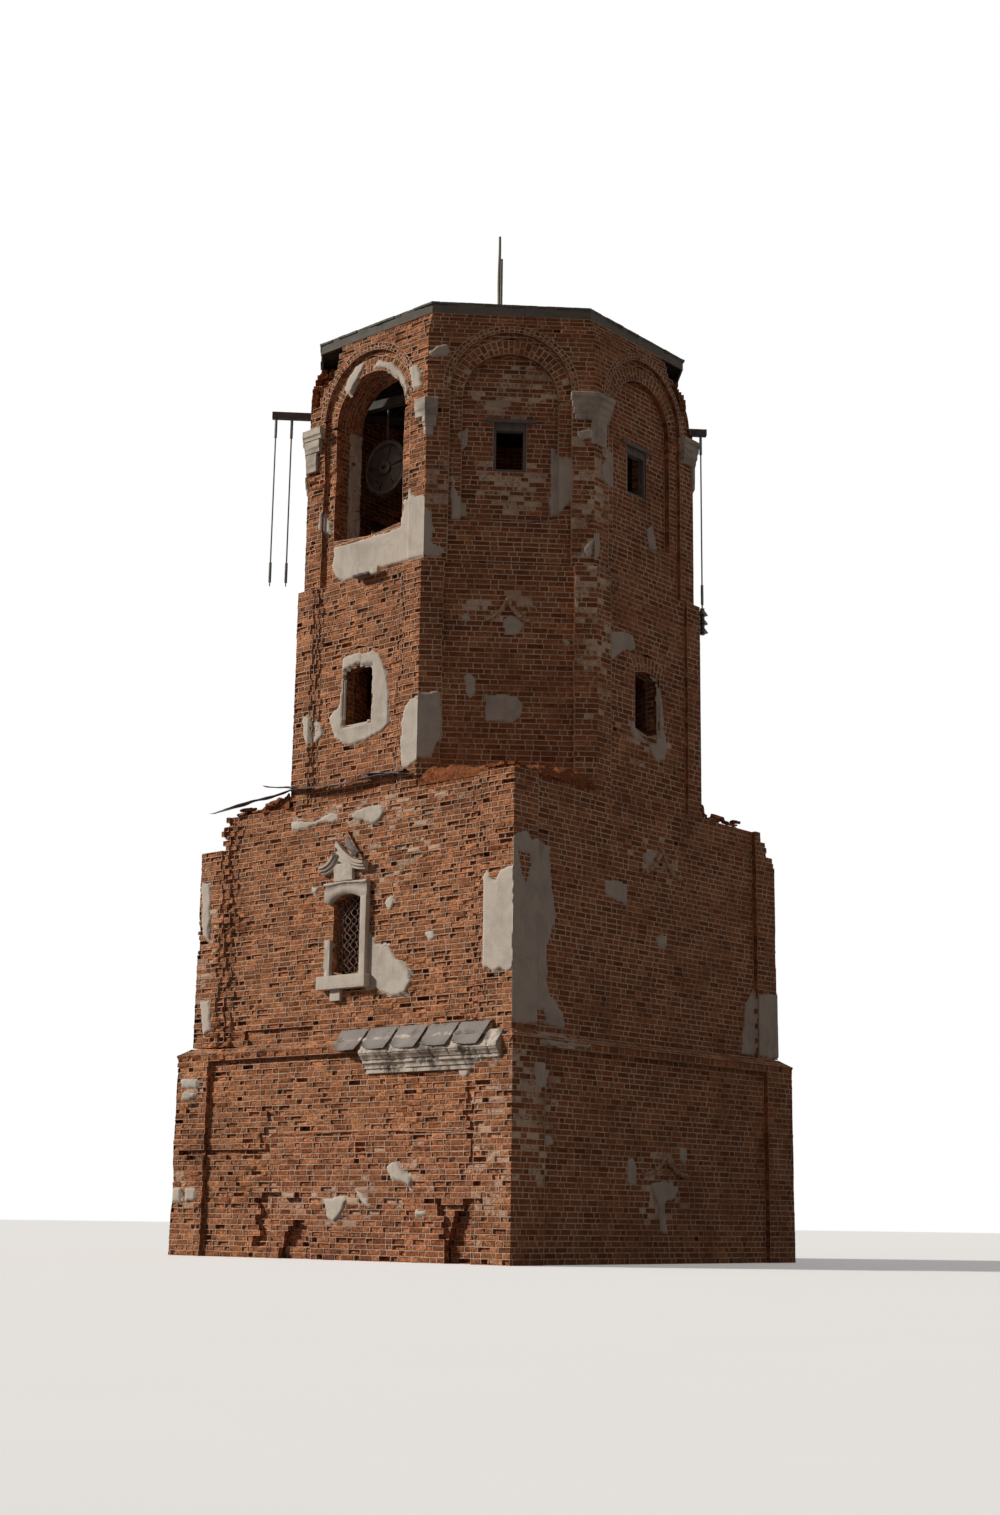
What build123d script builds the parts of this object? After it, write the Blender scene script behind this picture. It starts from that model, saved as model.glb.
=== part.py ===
from build123d import *
import os
from math import pi, tan

# Ruined brick bell tower: two square storeys, two octagonal storeys and a board roof.
# Millimetres, +Z up. Origin at the centre of the base, on the ground.
# The front faces -Y and the right side faces +X. Each wall is drawn as the front one
# and turned about Z: 45 degrees is the front right face, 90 the right face and so on.

# Heights of the storeys
GROUND_HEIGHT = 3500
MIDDLE_HEIGHT = 4050
OCTAGON_HEIGHT = 3850
BELL_HEIGHT = 4600
GROUND_TOP = GROUND_HEIGHT
MIDDLE_TOP = GROUND_TOP + MIDDLE_HEIGHT
OCTAGON_TOP = MIDDLE_TOP + OCTAGON_HEIGHT
BELL_TOP = OCTAGON_TOP + BELL_HEIGHT

# Half width of the base across the flats, what each storey steps back, wall thicknesses
GROUND_APOTHEM = 3850
MIDDLE_SETBACK = 180
OCTAGON_SETBACK = 70
BELL_SETBACK = 100
MIDDLE_APOTHEM = GROUND_APOTHEM - MIDDLE_SETBACK
OCTAGON_APOTHEM = MIDDLE_APOTHEM - OCTAGON_SETBACK
BELL_APOTHEM = OCTAGON_APOTHEM - BELL_SETBACK
GROUND_WALL = 1400
MIDDLE_WALL = 1120
OCTAGON_WALL = 950
BELL_WALL = 750

# Corner pilasters and the sunk fields between them
GROUND_PILASTER = 800
MIDDLE_PILASTER = 620
OCTAGON_PILASTER = 400
GROUND_RELIEF = 90
MIDDLE_RELIEF = 90
OCTAGON_RELIEF = 70
GROUND_FRIEZE = 250
LEDGE_DROP = 120

# Doorway at the back
DOOR_WIDTH = 1500
DOOR_SPRING = 2000
DOOR_RISE = 450

# Old broad opening in the front, filled with later brick, and the holes broken in its foot:
# outlines as (distance from the opening's nearer side, height), and depths
FILLED_WIDTH = 4550
FILLED_RIGHT = GROUND_APOTHEM - GROUND_PILASTER
FILLED_LEFT = FILLED_RIGHT - FILLED_WIDTH
FILLED_SPRING = 2200
FILLED_RISE = 600
FILL_THICKNESS = 640
FILL_SETBACK = 20
LEFT_HOLE = [(260, 0), (320, 420), (600, 640), (940, 560), (1080, 0)]
LEFT_HOLE_DEPTH = 190
RIGHT_HOLE = [(60, 0), (90, 560), (230, 860), (490, 760), (620, 330), (610, 0)]
RIGHT_HOLE_DEPTH = 320

# Windows of the square middle storey, from its foot
MIDDLE_WINDOW_WIDTH = 720
MIDDLE_PARAPET = 1040
MIDDLE_WINDOW_SIDE = 1250
MIDDLE_WINDOW_SILL = GROUND_TOP + MIDDLE_PARAPET
MIDDLE_WINDOW_SPRING = MIDDLE_WINDOW_SILL + MIDDLE_WINDOW_SIDE
MIDDLE_WINDOW_RISE = 100
SPLAY_WIDTH = 1250
SPLAY_RISE = 260
REVEAL_DEPTH = 380

# Windows of the lower octagon, from its foot
OCTAGON_WINDOW_WIDTH = 700
OCTAGON_PARAPET = 1250
OCTAGON_WINDOW_SIDE = 1010
OCTAGON_WINDOW_SILL = MIDDLE_TOP + OCTAGON_PARAPET
OCTAGON_WINDOW_SPRING = OCTAGON_WINDOW_SILL + OCTAGON_WINDOW_SIDE
OCTAGON_WINDOW_RISE = 70

# Arches of the bell storey: a sunk arched panel with an arched opening in it
PANEL_WIDTH = 2100
PANEL_SIDE = 3170
PANEL_SPRING = OCTAGON_TOP + PANEL_SIDE
PANEL_DEPTH = 80
ARCH_WIDTH = 1660
ARCH_PARAPET = 790
ARCH_SIDE = 2240
ARCH_SILL = OCTAGON_TOP + ARCH_PARAPET
ARCH_SPRING = ARCH_SILL + ARCH_SIDE
ARCH_FILL_THICKNESS = 380
ARCH_FILL_SETBACK = 110
TOP_BATTER_RUN = 170
TOP_BATTER_HEIGHT = 420

# Small windows in the filled arches
BELL_WINDOW_WIDTH = 470
BELL_WINDOW_RAISE = 990
BELL_WINDOW_SILL = ARCH_SILL + BELL_WINDOW_RAISE
BELL_WINDOW_HEIGHT = 710
FRAME_BAR = 50
FRAME_DEPTH = 120
FRAME_SETBACK = 40
HEADER_HEIGHT = 130
LINTEL_WIDTH = 890
LINTEL_HEIGHT = 60
LINTEL_OVERHANG = 25

# Capitals on the corners of the bell storey. Each step, from the top down, is its height,
# how far it stands out, and how far it runs along the face to the left and to the right.
WHOLE_CAPITAL = [(130, 120, 420, 420), (120, 95, 395, 395), (110, 70, 370, 370), (110, 45, 345, 345),
                 (430, 25, 60, 300)]
SHORT_CAPITAL = [(200, 110, 400, 400), (230, 65, 330, 330), (350, 35, 240, 240)]
STUMP_CAPITAL = [(330, 90, 210, 190), (180, 70, 40, 170), (150, 35, 30, 120)]
CAPITAL_LOSS = 100
WHOLE_CAPITAL_TOP = ARCH_SPRING + CAPITAL_LOSS
SHORT_CAPITAL_TOP = WHOLE_CAPITAL_TOP - CAPITAL_LOSS
STUMP_CAPITAL_TOP = SHORT_CAPITAL_TOP - CAPITAL_LOSS

# Corners that have fallen away: (distance from the corner, height above the storey's foot)
BELL_FRONT_BREAK = [(0, 3250), (210, 3620), (620, 4040), (650, 4650)]
BELL_REAR_BREAK = [(0, 3230), (110, 3360), (260, 3510), (510, 3820), (630, 4110), (650, 4650)]
MIDDLE_FRONT_BREAK = [(500, 3480), (540, 3520), (560, 4350)]
MIDDLE_REAR_BREAK = [(0, 3450), (590, 4120), (810, 4210), (1000, 4350)]

# Shallow hollows worn into the left walls: (along the wall, height above the storey's foot)
HOLLOW_RADIUS = 560
HOLLOW_DEPTH = 45
GROUND_HOLLOWS = [(120, 1690), (-1250, 900), (-1500, 2500), (1350, 2400), (1700, 800)]
MIDDLE_HOLLOWS = [(50, 1930), (-1500, 900), (-1700, 2900), (1500, 2950), (1650, 1000)]

# Floors
GROUND_FLOOR_THICKNESS = 100
FLOOR_THICKNESS = 160

# Squinches and the broken caps in the corners of the middle storey
SQUINCH_HEIGHT = 900
SQUINCH_RADIUS = 620
CAP_RISE = 300
CAP_RUN = 250
CAP_EDGE = 90

# Moulded surround of the middle windows, with a sill and the stump of a bracket
SURROUND_BAND = 140
SURROUND_HEAD = 210
SURROUND_DEPTH = 90
SURROUND_SILL_HEIGHT = 230
SURROUND_SILL_DEPTH = 150
SURROUND_SILL_OVERHANG = 65
BRACKET_LEFT = -315
BRACKET_RIGHT = -65
BRACKET_HEIGHT = 190
BRACKET_FOOT_DEPTH = 50

# Ogee pediment over the middle windows: arms in stepped bands, each with its share of the
# arm's thickness and how far it stands out, a brick gable behind them and a block below
PEDIMENT_WIDTH = 1120
PEDIMENT_RAISE = 540
PEDIMENT_FOOT = MIDDLE_WINDOW_SPRING + PEDIMENT_RAISE
PEDIMENT_FOOT_THICKNESS = 120
PEDIMENT_RISE = 420
PEDIMENT_PEAK_THICKNESS = 300
PEDIMENT_BANDS = [(0.36, 130), (0.68, 100), (1.0, 65)]
GABLE_LEFT = -400
GABLE_RIGHT = 390
GABLE_PEAK = -40
GABLE_RISE = 500
GABLE_DEPTH = 50
TYMPANUM_LEFT = -330
TYMPANUM_RIGHT = 100
TYMPANUM_HEIGHT = 280
TYMPANUM_DEPTH = 70

# Remnant of the moulded cornice. Its profile, from the foot up, is given as pairs of the
# distance out from the sunk field and the height above the foot.
CORNICE_LENGTH = 2900
CORNICE_INSET = 250
CORNICE_RIGHT = GROUND_APOTHEM - CORNICE_INSET
CORNICE_LEFT = CORNICE_RIGHT - CORNICE_LENGTH
CORNICE_DROP = 600
CORNICE_FOOT = GROUND_TOP - CORNICE_DROP
CORNICE_OVERHANG = 110
CORNICE_FILLETS = [(25, 0), (25, 75), (50, 75)]
CORNICE_LOWER_HOLLOW = [(50, 75), (62, 125), (105, 160)]
CORNICE_DRIP = [(105, 160), (105, 215), (130, 215)]
CORNICE_UPPER_HOLLOW = [(130, 215), (175, 245), (188, 300)]
CORNICE_LIP = 12

# Metal sheets over the ledge and the mortar bed that carries them
SHEET_WIDTH = 620
SHEET_COUNT = 5
SHEET_GAP = 30
SHEETS_INSET = 570
SHEETS_RIGHT = GROUND_APOTHEM - SHEETS_INSET
SHEETS_LEFT = SHEETS_RIGHT - SHEET_COUNT * SHEET_WIDTH - (SHEET_COUNT - 1) * SHEET_GAP
SHEET_THICKNESS = 6
SHEET_OVERHANG = 150
SHEET_RAISE = 130
SHEET_TOP = GROUND_TOP + SHEET_RAISE
SHEET_DROP = 310
SEAM_HEIGHT = 30
SEAM_WIDTH = 12

# Roof
ROOF_SETBACK = 140
ROOF_APOTHEM = BELL_APOTHEM - ROOF_SETBACK
ROOF_EAVE = 200
ROOF_EDGE = BELL_TOP + ROOF_EAVE
ROOF_RISE = 1300
ROOF_APEX = ROOF_EDGE + ROOF_RISE
DECK_THICKNESS = 45
FASCIA_INSET = 30
FASCIA_THICKNESS = 40
RAFTER_WIDTH = 100
RAFTER_DEPTH = 150
KING_POST_RADIUS = 110
KING_POST_LENGTH = 700

# Mast
MAST_WIDTH = 66
MAST_TOP_WIDTH = 46
MAST_HEIGHT = 1730
MAST_TOP = ROOF_APEX + MAST_HEIGHT
SPLICE_WIDTH = 44
SPLICE_HEIGHT = 1240
SPLICE_TOP = ROOF_APEX + SPLICE_HEIGHT
MAST_CLEARANCE = 5

# Cross beam and the wheel that hangs from it inside the front arch
CROSS_BEAM_INSET = 350
CROSS_BEAM_Y = BELL_WALL + CROSS_BEAM_INSET - BELL_APOTHEM
CROSS_BEAM_RAISE = 3680
CROSS_BEAM_Z = OCTAGON_TOP + CROSS_BEAM_RAISE
CROSS_BEAM_SIZE = 150
CROSS_BEAM_TILT = 4.5
WHEEL_X = -540
WHEEL_DROP = 1210
WHEEL_Z = CROSS_BEAM_Z - WHEEL_DROP
WHEEL_RADIUS = 520
WHEEL_RIM = 75
WHEEL_WIDTH = 150
WEB_THICKNESS = 30
HUB_RADIUS = 130
HUB_HOLE_RADIUS = 45
HUB_WIDTH = 190
STRAP_WIDTH = 50
STRAP_THICKNESS = 12

# Beam that crosses the tower from the front left face to the back right face
OUTRIGGER_RAISE = 3940
OUTRIGGER_Z = OCTAGON_TOP + OUTRIGGER_RAISE
OUTRIGGER_SIZE = 120
OUTRIGGER_LEFT_REACH = 740
OUTRIGGER_RIGHT_REACH = 500
OUTRIGGER_LEFT = BELL_APOTHEM + OUTRIGGER_LEFT_REACH
OUTRIGGER_RIGHT = BELL_APOTHEM + OUTRIGGER_RIGHT_REACH

# Rods that hang from its ends, by their distance from the beam's end
ROD_RADIUS = 14
SLEEVE_RADIUS = 26
SLEEVE_LENGTH = 380
OUTER_ROD_INSET = 75
INNER_ROD_INSET = 370
RIGHT_ROD_INSET = 110
ROD_LENGTH = 3220
EYE_RADIUS = 34
EYE_WIRE = 9

# Stack of discs on the wall's foot, and the rod that comes down to it
STACK_RAISE = 443
STACK_TOP = OCTAGON_TOP + STACK_RAISE
RIGHT_ROD_FOOT = STACK_TOP + 2 * EYE_RADIUS + EYE_WIRE
RIGHT_ROD_LENGTH = OUTRIGGER_Z - OUTRIGGER_SIZE / 2 - RIGHT_ROD_FOOT
DISC_RADIUS = 105
DISC_PITCH = 170
DISC_COUNT = 3
DISC_RISE = 90
INSULATOR_CORE = 42
ARM_SIZE = 50

# Sides of the two plans, and a length that reaches past everything
SQUARE = 4
OCTAGON = 8
FAR = GROUND_APOTHEM + MAST_TOP


def outline(points):
    """Flat face inside a closed row of points."""
    return make_face(Polyline(*points, close=True))


def half_side(apothem, sides):
    """Half the side of a regular plan with that many sides."""
    return apothem * tan(pi / sides)


def turned(shape, degrees):
    """The shape turned about the tower's axis."""
    return Rot(0, 0, degrees) * shape


def plan(apothem, sides):
    """Flat regular plan with a side towards -Y."""
    return RegularPolygon(apothem, sides, major_radius=False, rotation=180 / sides)


def prism(apothem, sides, bottom, top):
    """Upright prism with a flat side towards -Y."""
    return Pos(0, 0, bottom) * extrude(plan(apothem, sides), amount=top - bottom)


def side_profile(points, left, right):
    """Solid from (y, z) points, running along X from left to right."""
    return Pos(left, 0, 0) * extrude(Plane.YZ * outline(points), amount=right - left)


def front_profile(face, near, far):
    """Solid from a face drawn in X and Z, from y = -near to y = -far."""
    return Pos(0, -near, 0) * extrude(Plane.XZ * face, amount=far - near)


def arched_face(width, sill, spring, rise):
    """Opening with upright sides and an arc for a head, drawn in X and Z."""
    half = width / 2
    sides = Polyline((half, spring), (half, sill), (-half, sill), (-half, spring))
    head = ThreePointArc((-half, spring), (0, spring + rise), (half, spring))
    return make_face(sides.edges() + head.edges())


def box_between(low, high):
    """Block between two opposite corners."""
    size = [b - a for a, b in zip(low, high)]
    centre = [(a + b) / 2 for a, b in zip(low, high)]
    return Pos(*centre) * Box(*size)


def wall_block(apothem, thickness, sides, bottom, top):
    """Front wall of a storey as a plain block, mitred at both ends."""
    outer = half_side(apothem, sides)
    inner = half_side(apothem - thickness, sides)
    back = apothem - thickness
    foot = outline([(-outer, -apothem), (outer, -apothem), (inner, -back), (-inner, -back)])
    return Pos(0, 0, bottom) * extrude(foot, amount=top - bottom)


def sunk_field(apothem, sides, pilaster, relief, bottom, top):
    """Cut that leaves a pilaster at each end of a wall."""
    half = half_side(apothem, sides) - pilaster
    return box_between((-half, -apothem - relief, bottom - relief), (half, -apothem + relief, top))


def broken_end(break_points, apothem, sides, foot):
    """Cut along the ragged edge of a fallen corner, at the left end of a front wall."""
    corner = half_side(apothem, sides)
    edge = [(inset - corner, foot + height) for inset, height in break_points]
    face = outline([*edge, (-FAR, edge[-1][1]), (-FAR, edge[0][1])])
    return front_profile(face, 0, FAR)


def worn_hollows(places, field, foot):
    """Shallow dishes in a wall's sunk field, as balls that dip into it."""
    radius = (HOLLOW_RADIUS ** 2 + HOLLOW_DEPTH ** 2) / (2 * HOLLOW_DEPTH)
    centre_y = HOLLOW_DEPTH - field - radius
    return [Pos(along, centre_y, foot + height) * Sphere(radius) for along, height in places]


def splayed_window(width, sill, spring, rise, apothem, thickness):
    """Window cut: a straight reveal outside and a splayed embrasure inside."""
    face = arched_face(width, sill, spring, rise)
    reveal = front_profile(face, apothem - REVEAL_DEPTH, apothem + REVEAL_DEPTH)
    wide = arched_face(SPLAY_WIDTH, sill - SPLAY_RISE, spring + SPLAY_RISE, rise)
    start = Pos(0, REVEAL_DEPTH - apothem, 0) * (Plane.XZ * face)
    end = Pos(0, thickness - apothem, 0) * (Plane.XZ * wide)
    return reveal + loft([start.face(), end.face()])


def ground_wall():
    """Wall of the lowest storey with its weathered ledge."""
    block = wall_block(GROUND_APOTHEM, GROUND_WALL, SQUARE, 0, GROUND_TOP)
    field_top = GROUND_TOP - GROUND_FRIEZE
    field = sunk_field(GROUND_APOTHEM, SQUARE, GROUND_PILASTER, GROUND_RELIEF, 0, field_top)
    ledge = side_profile(
        [
            (-MIDDLE_APOTHEM, GROUND_TOP),
            (-GROUND_APOTHEM, GROUND_TOP - LEDGE_DROP),
            (-FAR, GROUND_TOP - LEDGE_DROP),
            (-FAR, GROUND_TOP),
        ],
        -FAR,
        FAR,
    )
    side_ledge = turned(ledge, 90) + turned(ledge, -90)
    return block - field - ledge - side_ledge


def ground_left_wall():
    field = GROUND_APOTHEM - GROUND_RELIEF
    return turned(ground_wall() - worn_hollows(GROUND_HOLLOWS, field, 0), 270)


def filled_opening():
    """The broad old opening as a solid, drawn through the whole front wall."""
    middle = (FILLED_RIGHT + FILLED_LEFT) / 2
    face = arched_face(FILLED_WIDTH, 0, FILLED_SPRING, FILLED_RISE)
    return Pos(middle, 0, 0) * front_profile(face, 0, FAR)


def ground_front_wall():
    return ground_wall() - filled_opening()


def ground_front_infill():
    """Later brickwork in the old opening, with the two holes broken in its foot."""
    outer = GROUND_APOTHEM - GROUND_RELIEF - FILL_SETBACK
    slab = box_between((-FAR, -outer, 0), (FAR, -outer + FILL_THICKNESS, GROUND_TOP))
    left_hole = outline([(FILLED_LEFT + inset, height) for inset, height in LEFT_HOLE])
    right_hole = outline([(FILLED_RIGHT - inset, height) for inset, height in RIGHT_HOLE])
    broken = front_profile(left_hole, outer - LEFT_HOLE_DEPTH, FAR)
    broken = broken + front_profile(right_hole, outer - RIGHT_HOLE_DEPTH, FAR)
    return (slab & filled_opening()) - broken


def ground_back_wall():
    door = front_profile(arched_face(DOOR_WIDTH, 0, DOOR_SPRING, DOOR_RISE), 0, FAR)
    return turned(ground_wall() - door, 180)


def sheet_height(distance):
    """Height of the sheets' underside at a distance from the tower's axis."""
    run = GROUND_APOTHEM + SHEET_OVERHANG - MIDDLE_APOTHEM
    return SHEET_TOP - SHEET_DROP * (distance - MIDDLE_APOTHEM) / run


def ground_cornice():
    """Moulded cornice remnant and the mortar bed that slopes up behind it."""
    field = GROUND_APOTHEM - GROUND_RELIEF
    lip = GROUND_APOTHEM + CORNICE_OVERHANG
    top = GROUND_TOP - LEDGE_DROP

    def placed(points):
        return [(-field - out, CORNICE_FOOT + up) for out, up in points]

    foot = placed([(0, 0), *CORNICE_FILLETS])
    lower = placed(CORNICE_LOWER_HOLLOW)
    drip = placed(CORNICE_DRIP)
    upper = placed(CORNICE_UPPER_HOLLOW)
    lip_foot = upper[-1][1]
    back = Polyline(
        upper[-1], (-lip, lip_foot), (-lip, lip_foot + CORNICE_LIP), (-lip, sheet_height(lip)),
        (-GROUND_APOTHEM, sheet_height(GROUND_APOTHEM)), (-field, top), foot[0],
    )
    lines = [Polyline(*foot), ThreePointArc(*lower), Polyline(*drip), ThreePointArc(*upper), back]
    face = Plane.YZ * make_face([edge for line in lines for edge in line.edges()])
    moulding = Pos(CORNICE_LEFT, 0, 0) * extrude(face, amount=CORNICE_RIGHT - CORNICE_LEFT)
    wall_line = MIDDLE_APOTHEM - MIDDLE_RELIEF
    bed = side_profile(
        [
            (-wall_line, GROUND_TOP), (-wall_line, SHEET_TOP), (-MIDDLE_APOTHEM, SHEET_TOP),
            (-GROUND_APOTHEM, sheet_height(GROUND_APOTHEM)), (-GROUND_APOTHEM, top),
            (-MIDDLE_APOTHEM, GROUND_TOP),
        ],
        SHEETS_LEFT,
        SHEETS_RIGHT,
    )
    return moulding - ground_wall() + (bed - middle_window_wall())


def ground_flashing():
    """Metal sheets laid on the mortar bed, each with a standing seam."""
    outer = GROUND_APOTHEM + SHEET_OVERHANG
    high = (-MIDDLE_APOTHEM, sheet_height(MIDDLE_APOTHEM))
    low = (-outer, sheet_height(outer))
    rise = SHEET_THICKNESS
    seam = rise + SEAM_HEIGHT
    sheet_face = [high, low, (low[0], low[1] + rise), (high[0], high[1] + rise)]
    seam_face = [high, low, (low[0], low[1] + seam), (high[0], high[1] + seam)]
    sheets = []
    for index in range(SHEET_COUNT):
        left = SHEETS_LEFT + index * (SHEET_WIDTH + SHEET_GAP)
        right = left + SHEET_WIDTH
        sheet = side_profile(sheet_face, left, right)
        sheets.append(sheet + side_profile(seam_face, right - SEAM_WIDTH, right))
    return Compound(children=sheets)


def middle_field():
    """Sunk field of a middle storey wall, running out at its top."""
    top = MIDDLE_TOP + CAP_RISE + MIDDLE_RELIEF
    return sunk_field(MIDDLE_APOTHEM, SQUARE, MIDDLE_PILASTER, MIDDLE_RELIEF, GROUND_TOP, top)


def middle_wall():
    block = wall_block(MIDDLE_APOTHEM, MIDDLE_WALL, SQUARE, GROUND_TOP, MIDDLE_TOP)
    return block - middle_field()


def middle_break(break_points):
    return broken_end(break_points, MIDDLE_APOTHEM, SQUARE, GROUND_TOP)


def middle_front_wall():
    return middle_window_wall() - middle_break(MIDDLE_FRONT_BREAK)


def middle_right_wall():
    fallen = middle_break(MIDDLE_REAR_BREAK).mirror(Plane.YZ)
    return turned(middle_wall() - fallen, 90)


def middle_back_wall():
    return turned(middle_window_wall() - middle_break(MIDDLE_REAR_BREAK), 180)


def middle_left_wall():
    fallen = middle_break(MIDDLE_FRONT_BREAK).mirror(Plane.YZ)
    hollows = worn_hollows(MIDDLE_HOLLOWS, MIDDLE_APOTHEM - MIDDLE_RELIEF, GROUND_TOP)
    return turned(middle_wall() - fallen - hollows, 270)


def middle_window_wall():
    cut = splayed_window(
        MIDDLE_WINDOW_WIDTH, MIDDLE_WINDOW_SILL, MIDDLE_WINDOW_SPRING, MIDDLE_WINDOW_RISE,
        MIDDLE_APOTHEM, MIDDLE_WALL,
    )
    return middle_wall() - cut


def middle_squinches():
    """Arched corner blocks that carry the diagonal walls of the octagon."""
    inner = MIDDLE_APOTHEM - MIDDLE_WALL
    wall_face = OCTAGON_APOTHEM - OCTAGON_WALL
    leg = 2 * inner - wall_face * 2 ** 0.5
    corner = outline([(inner, inner), (inner - leg, inner), (inner, inner - leg)])
    bottom = MIDDLE_TOP - SQUINCH_HEIGHT
    block = Pos(0, 0, bottom) * extrude(corner, amount=SQUINCH_HEIGHT)
    arch = Rot(0, 0, 45) * Pos(wall_face, 0, bottom) * Rot(0, 90, 0)
    hollow = arch * Cylinder(SQUINCH_RADIUS, FAR / 2)
    block = block - hollow
    return Compound(children=[turned(block, 90 * index) for index in range(SQUARE)])


def corner_cap():
    """Sloping mound of masonry left in one corner, beside the octagon."""
    reach = OCTAGON_APOTHEM * 2 ** 0.5 - MIDDLE_APOTHEM
    outer = MIDDLE_APOTHEM
    z = MIDDLE_TOP
    edge = z + CAP_EDGE
    crest = z + CAP_RISE
    points = [
        (reach, outer, z), (outer, reach, z), (outer, outer, z),
        (reach, outer, edge), (outer, reach, edge), (outer, outer, edge),
        (reach + CAP_RUN, outer - CAP_RUN, crest), (outer - CAP_RUN, reach + CAP_RUN, crest),
    ]
    return ConvexPolyhedron(points)


def fallen_corner(break_points):
    """Piece missing from the front left corner of the middle storey, on both faces."""
    front = middle_break(break_points)
    return front & turned(front.mirror(Plane.YZ), -90)


def middle_corner_caps():
    """The four caps, cut back over the sunk fields and the fallen corners."""
    fields = [turned(middle_field(), 90 * index) for index in range(SQUARE)]
    fallen = [fallen_corner(MIDDLE_FRONT_BREAK), turned(fallen_corner(MIDDLE_REAR_BREAK), 180)]
    caps = [turned(corner_cap(), 90 * index) - fields - fallen for index in range(SQUARE)]
    return Compound(children=caps)


def window_surround():
    """Stucco frame round a middle window, its sill and the bracket stump under it."""
    field = MIDDLE_APOTHEM - MIDDLE_RELIEF
    half = MIDDLE_WINDOW_WIDTH / 2 + SURROUND_BAND
    opening = arched_face(
        MIDDLE_WINDOW_WIDTH, MIDDLE_WINDOW_SILL, MIDDLE_WINDOW_SPRING, MIDDLE_WINDOW_RISE
    )
    low = MIDDLE_WINDOW_SILL - SURROUND_SILL_HEIGHT
    high = MIDDLE_WINDOW_SPRING + MIDDLE_WINDOW_RISE + SURROUND_HEAD
    frame = box_between((-half, -field - SURROUND_DEPTH, low), (half, -field, high))
    sill_half = half + SURROUND_SILL_OVERHANG
    sill = box_between(
        (-sill_half, -field - SURROUND_SILL_DEPTH, low), (sill_half, -field, MIDDLE_WINDOW_SILL)
    )
    bracket = side_profile(
        [
            (-field, low), (-field - SURROUND_DEPTH, low),
            (-field - BRACKET_FOOT_DEPTH, low - BRACKET_HEIGHT), (-field, low - BRACKET_HEIGHT),
        ],
        BRACKET_LEFT,
        BRACKET_RIGHT,
    )
    return frame + sill + bracket - front_profile(opening, 0, FAR)


def ogee(share):
    """Right half of an S-curve across the arm, from its upper edge (0) to its lower (1)."""
    half = PEDIMENT_WIDTH / 2
    foot = PEDIMENT_FOOT + PEDIMENT_FOOT_THICKNESS * (1 - share)
    peak = foot + PEDIMENT_RISE - (PEDIMENT_PEAK_THICKNESS - PEDIMENT_FOOT_THICKNESS) * share
    rise = peak - foot
    return Bezier((half, foot), (half / 2, foot), (half / 5, foot + 0.55 * rise), (0, peak))


def pediment():
    """Ogee pediment: two S-curved arms in stepped bands, a brick gable and a block."""
    field = MIDDLE_APOTHEM - MIDDLE_RELIEF
    upper = ogee(0)
    stepped = None
    for share, depth in PEDIMENT_BANDS:
        lower = ogee(share)
        end = Polyline(upper @ 0, lower @ 0)
        edges = upper.edges() + lower.edges() + end.edges()
        left_edges = [edge.mirror(Plane.YZ) for edge in edges]
        band = front_profile(make_face([*edges, *left_edges]), field, field + depth)
        stepped = band if stepped is None else stepped + band
    foot = PEDIMENT_FOOT + PEDIMENT_FOOT_THICKNESS
    gable_face = outline([(GABLE_LEFT, foot), (GABLE_RIGHT, foot), (GABLE_PEAK, foot + GABLE_RISE)])
    gable = front_profile(gable_face, field, field + GABLE_DEPTH)
    block_top = PEDIMENT_FOOT + PEDIMENT_FOOT_THICKNESS / 2
    block = box_between(
        (TYMPANUM_LEFT, -field - TYMPANUM_DEPTH, block_top - TYMPANUM_HEIGHT),
        (TYMPANUM_RIGHT, -field, block_top),
    )
    return stepped + gable + block


def on_front_and_back(piece):
    return Compound(children=[turned(piece, 0), turned(piece, 180)])


def octagon_wall():
    block = wall_block(OCTAGON_APOTHEM, OCTAGON_WALL, OCTAGON, MIDDLE_TOP, OCTAGON_TOP)
    top = OCTAGON_TOP + OCTAGON_RELIEF
    return block - sunk_field(
        OCTAGON_APOTHEM, OCTAGON, OCTAGON_PILASTER, OCTAGON_RELIEF, MIDDLE_TOP, top
    )


def octagon_window_wall():
    cut = splayed_window(
        OCTAGON_WINDOW_WIDTH, OCTAGON_WINDOW_SILL, OCTAGON_WINDOW_SPRING, OCTAGON_WINDOW_RISE,
        OCTAGON_APOTHEM, OCTAGON_WALL,
    )
    return octagon_wall() - cut


def octagon_diagonal_walls():
    return Compound(children=[turned(octagon_wall(), 45 + 90 * index) for index in range(4)])


def arch_opening():
    """The arched opening of a bell storey wall as a solid."""
    return front_profile(arched_face(ARCH_WIDTH, ARCH_SILL, ARCH_SPRING, ARCH_WIDTH / 2), 0, FAR)


def bell_wall():
    """Bell storey wall: eroded top, sunk arched panel and arched opening."""
    block = wall_block(BELL_APOTHEM, BELL_WALL, OCTAGON, OCTAGON_TOP, BELL_TOP)
    panel_face = arched_face(PANEL_WIDTH, OCTAGON_TOP - PANEL_DEPTH, PANEL_SPRING, PANEL_WIDTH / 2)
    panel = front_profile(panel_face, BELL_APOTHEM - PANEL_DEPTH, FAR)
    keep_low = prism(BELL_APOTHEM, OCTAGON, OCTAGON_TOP, BELL_TOP - TOP_BATTER_HEIGHT)
    low = Pos(0, 0, BELL_TOP - TOP_BATTER_HEIGHT) * plan(BELL_APOTHEM, OCTAGON)
    high = Pos(0, 0, BELL_TOP) * plan(BELL_APOTHEM - TOP_BATTER_RUN, OCTAGON)
    keep = keep_low + loft([low.face(), high.face()])
    return (block & keep) - panel - arch_opening()


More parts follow.
